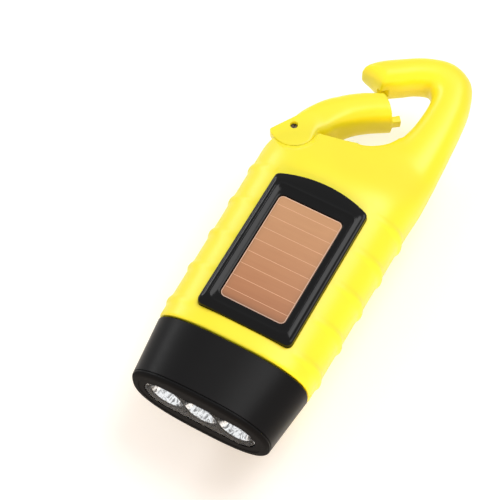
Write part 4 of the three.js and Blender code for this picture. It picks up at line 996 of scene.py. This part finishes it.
def hollow(side):
    """The room in one half of the case and in its neck."""
    face_wall = 2.4 if side > 0 else 2.2
    side_wall, end_wall, neck_wall = 2.0, 4.0, 3.9
    rings = []
    for y, wall in (
        (BODY_START + 1.7, side_wall),
        (FLAT_END, side_wall),
        (CLIP_START - 5, side_wall),
        (CLIP_START - 1, end_wall),
    ):
        a, b = body_width(y) - wall, body_thick(y) - face_wall
        rings.append(section(y, a, b, BODY_SQUARENESS, 48))
    neck = [cap_section(y, neck_wall, 48) for y in (CAP_END - 10.8, BODY_START + 4)]
    return [loft(rings), loft(neck)]


def half_space(side):
    """All that lies on one side of the seam."""
    far = 2 * half_width()
    seam = sizes("case").seam / MM / 2
    z0, z1 = sorted((side * seam, side * far))
    return block(-far, far, -far, 8 * far, z0, z1)


def case_half(whole, side):
    """One half of the case: parted from the whole, hollowed, and cut for what it holds."""
    half = combine(in_scene("solid", whole.data.copy()), "INTERSECT", half_space(side))
    neck_gap = 2.0
    neck = loft([cap_section(y, neck_gap) for y in (CAP_END - 8.8, BODY_START + GAP)])
    join(half, combine(neck, "INTERSECT", half_space(side)))
    cut(half, *hollow(side))
    seam = side * sizes("case").seam / MM
    bosses = []
    for node in SCREW_NODES:
        x, y, _ = middle_of(node)
        top = section_height(y, abs(x) + SCREW_HEAD) - 1
        bosses.append(rod(x, y, seam, side * top, SCREW_BOSS, 24))
    join(half, *bosses)
    seat = side * (EAR_INNER - GAP)
    far = side * (half_thick() + BEYOND)
    recess = EAR_RADIUS + GAP
    mouth = side * (EAR_TOP + 0.4)
    wide = abs(far - mouth) + recess
    ear_room = [(0, seat), (recess, seat), (recess, mouth), (wide, far), (0, far)]
    cut(half, lathe(ear_room, (*PIN, 0), sides=96))
    cut(half, nub_slot(), outside_gate_edge(CLOSED, 0))
    lug = rod(*PIN, seam / 2, seat, EAR_RADIUS - 4 * RUN, 96)
    cut(lug, outside_gate_edge(CLOSED, 0))
    join(half, lug)
    depth = box_of("gate_spring")[1].z + RUN
    way = prism(sector(1, EAR_RADIUS + BEYOND, 25, 105), -depth, depth)
    coil_room = 2.8
    pocket = join(rod(*PIN, -depth, depth, coil_room, 32), way)
    pin = rod(*PIN, -half_thick(), half_thick(), PIN_RADIUS + RUN, 32)
    return cut(half, pocket, pin)


def case_front(whole):
    """The front half, with the pocket for the solar panel."""
    half = case_half(whole, 1)
    deep = 1.2
    heights = (half_thick() - deep, half_thick() + BEYOND)
    cut(half, loft([frame_outline(-RUN, z) for z in heights]))
    return finish(half, "case_front", "case", shell_abs(), ["front_shell"])


def case_back(whole):
    """The back half, with the crank's boss and the holes for crank, button and screws."""
    half = case_half(whole, -1)
    face = -half_thick()
    step, foot, rise = 7.9, 8.6, 0.7
    bush_hole, button_hole, screw_sunk = 3.96, 4.56, 1.8
    profile = [(0, face - rise), (step, face - rise), (foot, face), (foot, face + 1), (0, face + 1)]
    x, y, _ = middle_of("crank_bush")
    join(half, lathe(profile, (x, y, 0)))
    holes = [rod(x, y, face - BEYOND, face + 4, bush_hole)]
    x, y, _ = middle_of("switch_button")
    holes.append(rod(x, y, face - BEYOND, face + 4, button_hole))
    for node in SCREW_NODES:
        x, y, _ = middle_of(node)
        seat = screw_sunk - section_height(y, abs(x) + SCREW_HEAD)
        holes.append(rod(x, y, face - BEYOND, seat, SCREW_HEAD + GAP))
        holes.append(rod(x, y, face, BEYOND, SCREW_HOLE, 24))
    cut(half, *holes)
    return finish(half, "case_back", "case", shell_abs(), ["back_shell"])


def gate_piece():
    """The sprung gate: its blade, ears and nub."""
    thick = sizes("case").hook_half_thick / MM
    blade = bar((GATE_OUTER, GATE_INNER), thick, GATE_SQUARENESS, 48)
    combine(blade, "INTERSECT", prism(sector(0, GATE_REACH, -30, 110, 60), -EAR_TOP, EAR_TOP))
    ears = rod(*PIN, -EAR_TOP, EAR_TOP, EAR_RADIUS, 96)
    join(blade, cut(ears, outside_gate_edge(0, 2 * EAR_RADIUS)))
    reach, start = GATE_REACH + NUB["reach"], NUB["start"]
    turn = math.degrees(NUB["width"] / reach)
    outline = sector(GATE_REACH - BEYOND, reach, start, start + turn)
    join(blade, prism(outline, -NUB["half_thick"], NUB["half_thick"]))
    eased(moulded(blade, sizes("case").gate_detail / MM, 4), 120, ear_step)
    half = [(PIN_RADIUS + RUN, EAR_TOP - 0.2), (1.22, EAR_TOP)]
    half += [(1.9, 2 * EAR_TOP), (0, 2 * EAR_TOP)]
    hole = lathe([*((r, -z) for r, z in reversed(half)), *half], (*PIN, 0))
    web = EAR_RADIUS + RUN
    depth = box_of("gate_spring")[1].z + RUN
    slot = rod(*PIN, -EAR_INNER, EAR_INNER, web, 96)
    leg = prism(sector(web - 1, web + 1.2, 50 - CLOSED, 78), -depth, depth)
    cut(blade, slot, hole, leg)
    return finish(blade, "gate_arm", "gate", shell_abs(), ["gate"])


def ear_step(x, y, z):
    """How much a point of the gate lies on the step where an ear runs into the arm.

    The step is near the ear's radius, from -20 to 82 degrees, and more than 4 mm off the middle.
    """
    out = Vector((x - PIN[0], y - PIN[1]))
    turn = math.degrees(math.atan2(out.y, out.x))
    near = math.exp(-(((out.length - EAR_RADIUS) / 2) ** 2))
    return ramp(turn, -20, 5) * ramp(turn, 82, 62) * near * ramp(abs(z), 4, 5)


def gate_pin():
    """A pin with domed ends, slotted for a driver."""
    top = box_of("gate_pin")[1].z - 0.75
    edge = 0.25
    side = PIN_RADIUS - edge
    dome = [(side + edge * math.cos(t), top - edge + edge * math.sin(t)) for t in quarter(6)]
    profile = [(0, -top), *[(r, -z) for r, z in reversed(dome)], *dome, (0, top)]
    pin = lathe(profile, (*PIN, 0))
    x, y = PIN
    wide, reach, deep = 0.2, 2, 0.5
    slots = []
    for z0, z1 in ((top - deep, top + 1), (-top - 1, deep - top)):
        slots.append(block(x - wide, x + wide, y - reach, y + reach, z0, z1))
    cut(pin, *slots)
    # The pin's material has the shade of its hole painted into its colour
    return finish(pin, "gate_pin_slotted", "case", steel_painted_shade(), ["gate_pin"])


def frame_ring(a, y0, y1, apex, corner, z, corner_steps=8, arch_steps=24):
    """An outline with rounded corners, whose far side is arched where apex is past y1."""
    points = []

    def arc(cx, cy, start, stop):
        for i in range(corner_steps + 1):
            turn = start + (stop - start) * i / corner_steps
            points.append((cx + corner * math.cos(turn), cy + corner * math.sin(turn), z))

    rise = apex - y1
    arc(a - corner, y0 + corner, -math.pi / 2, 0)
    if rise > 0:
        radius = (a**2 + rise**2) / (2 * rise)
        center = apex - radius
        reach = math.sqrt((radius - corner) ** 2 - (a - corner) ** 2)
        tilt, top = math.atan2(reach, a - corner), center + reach
    else:
        tilt, top = math.pi / 2, y1 - corner
    arc(a - corner, top, 0, tilt)
    across = a - corner + corner * math.cos(tilt)
    for i in range(1, arch_steps):
        x = across * (1 - 2 * i / arch_steps)
        points.append((x, center + math.sqrt(radius**2 - x**2) if rise > 0 else y1, z))
    arc(corner - a, top, math.pi - tilt, math.pi)
    arc(corner - a, y0 + corner, math.pi, 1.5 * math.pi)
    return points


def frame_outline(inset, z):
    """The outside of the solar frame."""
    low, high = box_of("solar_frame")
    apex = high.y - inset
    return frame_ring(high.x - inset, low.y + inset, apex - 3, apex, 1.7, z)


def ridge_outline(inset, z):
    """The crest of the ridge round the panel."""
    low, high = box_of("solar_frame")
    end = high.y - 5.5 - inset
    return frame_ring(high.x - 2.2 - inset, low.y + 2.1 + inset, end, end, 2, z)


def window_outline(inset, z):
    """The frame's window, a little wider than the cell."""
    low, high = box_of("solar_cell")
    room = 0.12
    y0, y1 = low.y - room + inset, high.y + room - inset
    return frame_ring(high.x + room - inset, y0, y1, y1, 1.6, z)


def cell_outline(inset, z):
    """The outside of the cell."""
    low, high = box_of("solar_cell")
    y0, y1 = low.y + inset, high.y - inset
    return frame_ring(high.x - inset, y0, y1, y1, 1.5 - inset, z)


def between(first, second, share, lift=0):
    """A ring part of the way from one ring to another."""
    return [
        (*(a + (b - a) * share for a, b in zip(p[:2], q[:2])), p[2] + (q[2] - p[2]) * share + lift)
        for p, q in zip(first, second)
    ]


def panel_frame():
    """The gloss frame: a rounded edge, a face that swells to a crest, and a slope to the lip."""
    low, high = box_of("solar_frame")
    top = box_of("solar_cell")[1].z
    edge = half_thick() + 0.5
    round_over = 0.5
    rings = [frame_outline(0, low.z)]
    for t in quarter(6):
        inset, rise = round_over * (1 - math.cos(t)), round_over * math.sin(t)
        rings.append(frame_outline(inset, edge + rise))
    shoulder = rings[-1]
    crest_half, crest_drop, swell, hollow_in = 0.35, 0.1, 0.1, 0.05
    foot = ridge_outline(-crest_half, high.z - crest_drop)
    for i in range(1, 5):
        rings.append(between(shoulder, foot, i / 5, swell * math.sin(math.pi * i / 5)))
    for i in range(-4, 5):
        way = i / 4
        rings.append(ridge_outline(crest_half * way, high.z - crest_drop * way**2))
    crest = rings[-1]
    brim = top + sizes("panel").lip / MM
    brink = window_outline(-0.25, brim + 0.03)
    for i in range(1, 5):
        rings.append(between(crest, brink, i / 4, -hollow_in * math.sin(math.pi * i / 4)))
    for inset, z in ((-0.12, brim), (-0.03, brim - 0.1), (0, top), (0, low.z)):
        rings.append(window_outline(inset, z))
    ring = loft(rings, True)
    return finish(ring, "panel_frame", "case", gloss_abs(), ["solar_frame"])


def panel_cell():
    """The cell's glassy face, and the light lines printed on it."""
    low, high = box_of("solar_cell")
    edge = ((0, low.z), (0, high.z - 0.08), (0.03, high.z - 0.02), (0.1, high.z))
    sheet = loft([cell_outline(inset, z) for inset, z in edge])
    finish(sheet, "panel_cell", "case", cell_film(), ["solar_cell"])
    half_line = sizes("panel").line_width / MM / 2
    border = sizes("panel").border_width / MM
    count = sizes("panel").line_count
    z0, z1 = high.z - 0.02, high.z + 0.012
    outer, margin = 0.1, 3.0
    inner = outer + border
    rings = [cell_outline(d, z) for d, z in ((outer, z0), (outer, z1), (inner, z1), (inner, z0))]
    finish(loft(rings, True), "panel_border", "case", border_paste())
    lines = []
    reach = high.x - outer - border / 2
    for i in range(count):
        y = low.y + margin + (high.y - low.y - 2 * margin) * i / (count - 1)
        lines.append(block(-reach, reach, y - half_line, y + half_line, z0, z1))
    finish(join(*lines), "panel_lines", "case", silver_paste())


def lens_cap():
    """The black cap: a rounded rim, a sunk face, and a window with three bowls behind it."""
    edge = CAP_EDGE
    rings = [cap_section(edge * (1 - math.cos(t)), edge * (1 - math.sin(t))) for t in quarter(8)]
    for y, inset in ((6, 0), (12, 0), (CAP_END - 0.3, 0), (CAP_END, 0.25)):
        rings.append(cap_section(y, inset))
    cap = loft(rings)
    wall, groove_wide, groove_deep = 1.7, 0.4, 0.3
    web = box_of("reflector")[0].y - SEAT
    inside = loft([cap_section(y, wall) for y in (web, CAP_END + BEYOND)])
    low, high = box_of("front_lens")
    step = loft([cap_section(y, d) for y, d in ((-BEYOND, 2), (0, 2.15), (low.y, 2.3))])
    seat = prism_y(stadium(high.x + GAP, high.z + GAP, 24), 0, high.y + SEAT)
    groove = loft([cap_section(y, -1) for y in (edge, edge + groove_wide)])
    core = [cap_section(y, groove_deep) for y in (edge - SEAT, edge + groove_wide + SEAT)]
    cut(groove, loft(core))
    holes = []
    for node in LED_NODES:
        profile = [(0, 0), (BOWL, 0), (BOWL, web + 1), (0, web + 1)]
        holes.append(lathe(profile, (middle_of(node)[0], 0, 0), "Y", 96))
    cut(cap, inside, step, seat, groove, *holes)
    finish(cap, "lens_cap", "case", satin_abs(), ["head_cap"])
    cap.data.materials.append(blasted_abs())
    for face in cap.data.polygons:
        if face.center.y < LENS_END + (edge - 0.3) * MM:
            face.material_index = 1


def lens_window():
    """The clear window, with its outer edge rounded."""
    low, high = box_of("front_lens")
    shape = [(0.3, low.y), (0.08, low.y + 0.05), (0, low.y + 0.15), (0, high.y)]
    rings = []
    for inset, y in shape:
        outline = stadium(high.x - inset, high.z - inset, 24)
        rings.append([(x, y, z) for x, z in outline])
    return finish(loft(rings), "lens_window", "case", clear_pc(), ["front_lens"])


def reflector_bowls():
    """A plated block with a parabolic bowl for each LED."""
    low, high = box_of("reflector")
    depth = (high.y - low.y) / 2
    base = prism_y(stadium(high.x, high.z, 24), low.y, high.y)
    profile = [(0, low.y - BEYOND), (BOWL, low.y - BEYOND)]
    for i in range(13):
        way = i / 12
        radius = math.sqrt(BOWL**2 + (LED_HOLE**2 - BOWL**2) * way)
        profile.append((radius, low.y + depth * way))
    profile += [(LED_HOLE, high.y + BEYOND), (0, high.y + BEYOND)]
    cut(base, *(lathe(profile, (middle_of(node)[0], 0, 0), "Y", 72) for node in LED_NODES))
    return finish(base, "reflector_bowls", "case", plated(), ["reflector"])


def leds():
    """Three LEDs: a domed epoxy lens over a cup of phosphor on its post."""
    bulb_radius, flange = 2.5, 2.9
    cup = [(0, 3.4), (0.9, 2.6), (1.25, 2.6), (1.1, 4.4), (0.4, 4.6), (0.4, 5.6), (0, 5.6)]
    paste = [(0, 2.75), (0.6, 2.8), (0.84, 2.95), (0, 3.3)]
    for node in LED_NODES:
        low, high = box_of(node)
        at = (middle_of(node)[0], 0, 0)
        dome = [
            (bulb_radius * math.sin(t), low.y + bulb_radius * (1 - math.cos(t)))
            for t in quarter(9)
        ]
        rim = [(bulb_radius, high.y - 1), (flange, high.y - 1), (flange, high.y), (0, high.y)]
        bulb = lathe(dome + rim, at, "Y", 48)
        post = lathe([(r, low.y + h) for r, h in cup], at, "Y", 32)
        dot = lathe([(r, low.y + h) for r, h in paste], at, "Y", 24)
        finish(bulb, node + "_bulb", "case", led_epoxy(), [node])
        finish(post, node + "_cup", "case", zinc_steel())
        finish(dot, node + "_phosphor", "case", phosphor())


def switch_button():
    """The round button, dished for a fingertip."""
    low, high = box_of("switch_button")
    x, y, _ = middle_of("switch_button")
    face, radius, edge, skirt, skirt_tall = low.z, 4.4, 0.6, high.x - x, 0.8
    profile = [(0, face + 0.35), (1.6, face + 0.25), (3, face + 0.05), (3.6, face)]
    for t in quarter(6):
        profile.append((radius - edge + edge * math.sin(t), face + edge - edge * math.cos(t)))
    profile += [(r, high.z - skirt_tall) for r in (radius, skirt)]
    profile += [(skirt, high.z), (0, high.z)]
    obj = lathe(profile, (x, y, 0), sides=64)
    return finish(obj, "button_cap", "button", satin_abs(), ["switch_button"])


def screw(x, y, head_low, head_high, end, radius, shank):
    """A pan head screw along Z with a cross recess. Its head faces -Z."""
    tall = head_high - head_low
    wall, inward = 0.35 * tall, 0.6 * tall
    profile = [(0, head_low)]
    for t in reversed(quarter(6)):
        height = head_high - wall - (tall - wall) * math.sin(t)
        profile.append((radius - inward * (1 - math.cos(t)), height))
    profile += [(radius, head_high), (shank, head_high), (shank, end), (0, end)]
    made = lathe(profile, (x, y, 0), sides=40)
    wide, reach, deep = 0.13 * radius, 0.62 * radius, head_low + 0.6 * tall
    bars = [
        block(x - u, x + u, y - v, y + v, head_low - 1, deep)
        for u, v in ((wide, reach), (reach, wide))
    ]
    return cut(made, join(*bars))


def case_screws():
    """The four screws that hold the halves together."""
    head_tall, shank = 1.4, 1.05
    for i, node in enumerate(SCREW_NODES, 1):
        low, high = box_of(node)
        x, y, _ = middle_of(node)
        obj = screw(x, y, low.z, low.z + head_tall, high.z, SCREW_HEAD, shank)
        finish(obj, "cross_screw_%d" % i, "case", zinc_steel(), [node])


def crank_arm():
    """The folding crank's arm, with a slot for its knob."""
    low, high = box_of("crank_arm")
    hub, end = high.x, 7.5
    y0, y1 = low.y + hub, high.y - end
    lean = math.asin((hub - end) / (y1 - y0))

    def ring(inset, z):
        points = []
        for center, radius, start, sweep in (
            (y0, hub - inset, math.pi - lean, math.pi + 2 * lean),
            (y1, end - inset, lean, math.pi - 2 * lean),
        ):
            for i in range(41):
                turn = start + sweep * i / 40
                points.append((radius * math.cos(turn), center + radius * math.sin(turn), z))
        return points

    edge = 1.0
    turns = quarter(6)
    rings = [ring(edge - edge * math.sin(t), low.z + edge - edge * math.cos(t)) for t in turns]
    rings += [ring(edge - edge * math.cos(t), high.z - edge + edge * math.sin(t)) for t in turns]
    arm = loft(rings)
    hinge = middle_of("knob_pin")[1]
    tip = box_of("knob_screw")[0].y
    half_slot = 4.9
    y2, y3 = hinge - math.hypot(hinge - tip, KNOB_CAP) - GAP, hinge + 4.65
    slot = block(-half_slot, half_slot, y2, y3, low.z - BEYOND, high.z + BEYOND)
    head_hole, thread_hole, ledge, seat = 3.7, 1.7, low.z + 2.1, low.z + 3
    profile = [(0, low.z - 1), (head_hole + 0.6, low.z - 1), (head_hole, low.z + 0.3)]
    profile += [(head_hole, ledge), (thread_hole, ledge), (thread_hole, seat)]
    profile += [(SHAFT_HOLE, seat), (SHAFT_HOLE, high.z + 1), (0, high.z + 1)]
    cut(arm, slot, knob_pin_hole(middle_of("crank_arm")[2]), lathe(profile, (0, y0, 0)))
    return finish(arm, "crank_arm_moulded", "crank", satin_abs(), ["crank_arm"])


def knob_pin_hole(z):
    """The hole for the pin on which the knob folds, at a height."""
    profile = [(0, -20), (PIN_HOLE, -20), (PIN_HOLE, 20), (0, 20)]
    return lathe(profile, (0, middle_of("knob_pin")[1], z), "X", 32)


def crank_hardware():
    """The crank's screw, the knob's pin and the bush of the crank's shaft."""
    low, high = box_of("crank_screw")
    head_tall, head, shank = 1.8, 3.4, 1.4
    y = middle_of("crank_screw")[1]
    obj = screw(0, y, low.z, low.z + head_tall, high.z, head, shank)
    finish(obj, "crank_screw_cross", "crank", zinc_steel(), ["crank_screw"])
    low, high = box_of("knob_pin")
    _, y, z = middle_of("knob_pin")
    pin = lathe(rounded(1.25, low.x, high.x, 0.35), (0, y, z), "X", 32)
    finish(pin, "knob_pin_turned", "crank", zinc_steel(), ["knob_pin"])
    low, high = box_of("crank_bush")
    inner, outer, flange = SHAFT_HOLE, 3.88, 5.28
    profile = [(inner, low.z), (flange - 0.1, low.z), (flange, low.z + 0.1)]
    profile += [(flange, low.z + 0.3), (outer, low.z + 0.3), (outer, high.z), (inner, high.z)]
    bush = lathe(profile, (0, middle_of("crank_bush")[1], 0), ring=True)
    finish(bush, "crank_bush_turned", "case", turned_brass(), ["crank_bush"])


def knob():
    """The knob: a post on its hinge, and a waisted sleeve that turns on it."""
    low, high = box_of("knob_yoke")
    hinge, z = middle_of("knob_pin")[1], middle_of("knob_yoke")[2]
    barrel = lathe(rounded(3.6, low.x, high.x, 0.4), (0, hinge, z), "X", 64)
    post_radius = 1.9
    profile = [(0, low.y), (post_radius, low.y), (post_radius, hinge), (0, hinge)]
    cut(join(barrel, lathe(profile, (0, 0, z), "Y")), knob_pin_hole(z))
    finish(barrel, "knob_post", "knob_post", satin_abs(), ["knob_yoke"])
    low, high = box_of("knob_sleeve")
    tall = high.y - low.y
    inner, radius, edge = post_radius + RUN, 4.2, 0.7
    profile = [(inner, low.y)]
    for i in range(41):
        way = i / 40
        waist = 0.4 * math.exp(-(((way - 0.5) / 0.2) ** 2))
        end = min(way, 1 - way) * tall
        drop = edge - math.sqrt(max(edge**2 - (edge - min(end, edge)) ** 2, 0))
        profile.append((radius - waist - drop, low.y + tall * way))
    profile.append((inner, high.y))
    sleeve = lathe(profile, (0, 0, z), "Y", 64, ring=True)
    finish(sleeve, "knob_grip", "knob", satin_abs(), ["knob_sleeve"])
    low, high = box_of("knob_screw")
    profile = [(0, high.y), (KNOB_CAP, high.y), (KNOB_CAP, low.y + 0.5)]
    profile += [(KNOB_CAP - 0.2, low.y + 0.15), (KNOB_CAP - 0.5, low.y), (0, low.y)]
    cap = lathe(profile, (0, 0, z), "Y")
    finish(cap, "knob_screw_cap", "knob_post", zinc_steel(), ["knob_screw"])


def press_spring():
    """Gives the button's spring a mesh of its own."""
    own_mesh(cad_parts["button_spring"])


# What is inside, which keeps its frame shapes
INSIDE = {
    "led_board": board_resin,
    "solar_board": board_resin,
    "main_board": board_resin,
    "gate_spring": zinc_steel,
    "button_spring": zinc_steel,
    "cell_holder": satin_abs,
    "coin_cell": zinc_steel,
    "switch_body": satin_abs,
    "switch_plunger": natural_nylon,
    "drive_gear": natural_nylon,
    "step_gear_1": natural_nylon,
    "step_gear_2": natural_nylon,
    "step_axle_1": zinc_steel,
    "step_axle_2": zinc_steel,
    "gear_plate": natural_nylon,
    "rotor_pinion": turned_brass,
    "magnet_rotor": bonded_ferrite,
    "stator_core": iron_sheets,
    "coil_bobbin": satin_abs,
    "coil_winding": copper_wire,
    "crank_shaft": zinc_steel,
}


# Operators


class FLASHLIGHT_OT_case(bpy.types.Operator):
    """Makes the two halves of the case, with its ribs and its hook"""

    bl_idname = "flashlight.case"
    bl_label = "Case"

    def execute(self, context):
        whole = case_whole()
        case_front(whole)
        case_back(whole)
        bpy.data.objects.remove(whole)
        return {"FINISHED"}


class FLASHLIGHT_OT_gate(bpy.types.Operator):
    """Makes the sprung gate and its pin"""

    bl_idname = "flashlight.gate"
    bl_label = "Gate"

    def execute(self, context):
        gate_piece()
        gate_pin()
        return {"FINISHED"}


class FLASHLIGHT_OT_panel(bpy.types.Operator):
    """Makes the solar panel: its frame, its cell and the lines on it"""

    bl_idname = "flashlight.panel"
    bl_label = "Solar panel"

    def execute(self, context):
        panel_frame()
        panel_cell()
        return {"FINISHED"}


class FLASHLIGHT_OT_head(bpy.types.Operator):
    """Makes the cap, the lens, the reflector and the LEDs"""

    bl_idname = "flashlight.head"
    bl_label = "Lens end"

    def execute(self, context):
        lens_cap()
        lens_window()
        reflector_bowls()
        leds()
        return {"FINISHED"}


class FLASHLIGHT_OT_crank(bpy.types.Operator):
    """Makes the crank's arm, its knob and their hardware"""

    bl_idname = "flashlight.crank"
    bl_label = "Crank"

    def execute(self, context):
        crank_arm()
        crank_hardware()
        knob()
        return {"FINISHED"}


class FLASHLIGHT_OT_fittings(bpy.types.Operator):
    """Makes the switch's button and the case's screws"""

    bl_idname = "flashlight.fittings"
    bl_label = "Button and screws"

    def execute(self, context):
        switch_button()
        case_screws()
        return {"FINISHED"}


class FLASHLIGHT_OT_inside(bpy.types.Operator):
    """Gives the pieces inside the case their materials"""

    bl_idname = "flashlight.inside"
    bl_label = "Inside"

    def execute(self, context):
        for node, material in INSIDE.items():
            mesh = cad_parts[node].data
            mesh.materials.clear()
            mesh.materials.append(material())
        press_spring()
        return {"FINISHED"}


class FLASHLIGHT_OT_stage(bpy.types.Operator):
    """Makes the floor, the lamps and the camera"""

    bl_idname = "flashlight.stage"
    bl_label = "Stage"

    def execute(self, context):
        floor()
        lamps()
        sky()
        camera()
        context.scene.view_settings.view_transform = "Standard"
        return {"FINISHED"}


# Stage, in metres


def floor():
    """A white floor. The camera sees it brighter than its paint, so it fades into the sky."""
    mesh = bpy.data.meshes.new("floor")
    far, clear, lift = 4.0, 0.0002, 0.25
    corners = [(-far, -far, 0), (far, -far, 0), (far, far, 0), (-far, far, 0)]
    mesh.from_pydata(corners, [], [(0, 1, 2, 3)])
    obj = in_scene("floor", mesh)
    obj.location.z = CAD_BOX[0].z - clear
    material = bpy.data.materials.new("paper_white")
    material.use_nodes = True
    tree = material.node_tree
    tree.nodes.clear()
    paint = add(tree, "ShaderNodeBsdfDiffuse", {"Color": (*sizes("stage").floor, 1)})
    glow = add(tree, "ShaderNodeEmission", None, {"Strength": seen(tree, lift)})
    both = add(tree, "ShaderNodeAddShader", None, {0: paint.outputs[0], 1: glow.outputs[0]})
    add(tree, "ShaderNodeOutputMaterial", None, {"Surface": both.outputs[0]})
    mesh.materials.append(material)


def seen(tree, strength):
    """A strength for what the camera sees, straight or in metal and glass."""
    path = add(tree, "ShaderNodeLightPath")
    any_of = path.outputs["Is Camera Ray"]
    for ray in ("Is Glossy Ray", "Is Transmission Ray"):
        either = {0: any_of, 1: path.outputs[ray]}
        any_of = add(tree, "ShaderNodeMath", None, either, operation="MAXIMUM").outputs[0]
    share = add(tree, "ShaderNodeMath", {1: strength}, {0: any_of}, operation="MULTIPLY")
    return share.outputs[0]


def lamp(name, place, watts, size, tint, long=None):
    """An area lamp that faces the flashlight."""
    light = bpy.data.lights.new(name, "AREA")
    light.energy = watts
    light.size = size
    light.color = linear(tint)
    if long:
        light.shape = "RECTANGLE"
        light.size_y = long
    obj = in_scene(name, light)
    obj.location = place
    low, high = CAD_BOX
    middle = (low + high) / 2
    obj.rotation_euler = (middle - Vector(place)).to_track_quat("-Z", "Y").to_euler()
    return obj


def lamps():
    """A light overhead, a strip at the left that draws bands on the cap, and a warm low light."""
    stage = sizes("stage")
    lamp("key", (0.2, 0.42, 0.9), stage.key, 0.5, "#ffffff")
    lamp("side_strip", (-0.64, 0.22, 0.4), stage.side, 0.5, "#ffffff", 0.08)
    bounce = lamp("warm_bounce", (0.3, -0.66, 0.22), stage.fill, 0.7, "#ffd8ac", 0.3)
    bounce.visible_glossy = False
    bounce.visible_transmission = False


def sky():
    """Even light from all round, which the camera sees as white."""
    world = bpy.data.worlds.new("sky")
    bpy.context.scene.world = world
    world.use_nodes = True
    tree = world.node_tree
    tree.nodes.clear()
    level = sizes("stage").sky
    lift = add(tree, "ShaderNodeMath", {1: level}, {0: seen(tree, 1 - level)}, operation="ADD")
    glow = add(tree, "ShaderNodeBackground", {"Color": (1, 1, 1, 1)}, {"Strength": lift.outputs[0]})
    add(tree, "ShaderNodeOutputWorld", None, {"Surface": glow.outputs[0]})


# The photograph's camera: its place, its turn as a quaternion, and its lens in millimetres
CAMERA_PLACE = (0.093247, -0.191675, 0.414015)
CAMERA_TURN = (0.940512, 0.229141, 0.067649, 0.241568)
CAMERA_LENS = 115.2


def camera():
    """The photograph's view: down on the panel side, with the lens end towards the camera."""
    data = bpy.data.cameras.new("camera")
    data.lens = CAMERA_LENS
    data.sensor_width = 36
    obj = in_scene("camera", data)
    obj.location = CAMERA_PLACE
    obj.rotation_mode = "QUATERNION"
    obj.rotation_quaternion = CAMERA_TURN
    bpy.context.scene.camera = obj


GROUPS = {"case": CaseSizes, "panel": PanelSizes, "finish": Finishes, "stage": StageSizes}
OPERATORS = [
    FLASHLIGHT_OT_case,
    FLASHLIGHT_OT_gate,
    FLASHLIGHT_OT_panel,
    FLASHLIGHT_OT_head,
    FLASHLIGHT_OT_crank,
    FLASHLIGHT_OT_fittings,
    FLASHLIGHT_OT_inside,
    FLASHLIGHT_OT_stage,
]


class FLASHLIGHT_PT_panel(bpy.types.Panel):
    """Sizes, colours and makers of the flashlight"""

    bl_label = "Flashlight"
    bl_idname = "FLASHLIGHT_PT_panel"
    bl_space_type = "VIEW_3D"
    bl_region_type = "UI"
    bl_category = "Flashlight"

    def draw(self, context):
        for name, group in GROUPS.items():
            column = self.layout.column()
            for prop in group.__annotations__:
                column.prop(getattr(context.scene, "flashlight_" + name), prop)
        for operator in OPERATORS:
            self.layout.operator(operator.bl_idname)


def register():
    for item in [*GROUPS.values(), *OPERATORS, FLASHLIGHT_PT_panel]:
        bpy.utils.register_class(item)
    for name, group in GROUPS.items():
        setattr(bpy.types.Scene, "flashlight_" + name, PointerProperty(type=group))


def unregister():
    for name in GROUPS:
        delattr(bpy.types.Scene, "flashlight_" + name)
    for item in [FLASHLIGHT_PT_panel, *reversed(OPERATORS), *reversed(GROUPS.values())]:
        bpy.utils.unregister_class(item)


def main():
    register()
    for operator in OPERATORS:
        getattr(bpy.ops.flashlight, operator.bl_idname.split(".")[1])()


if __name__ == "__main__":
    main()
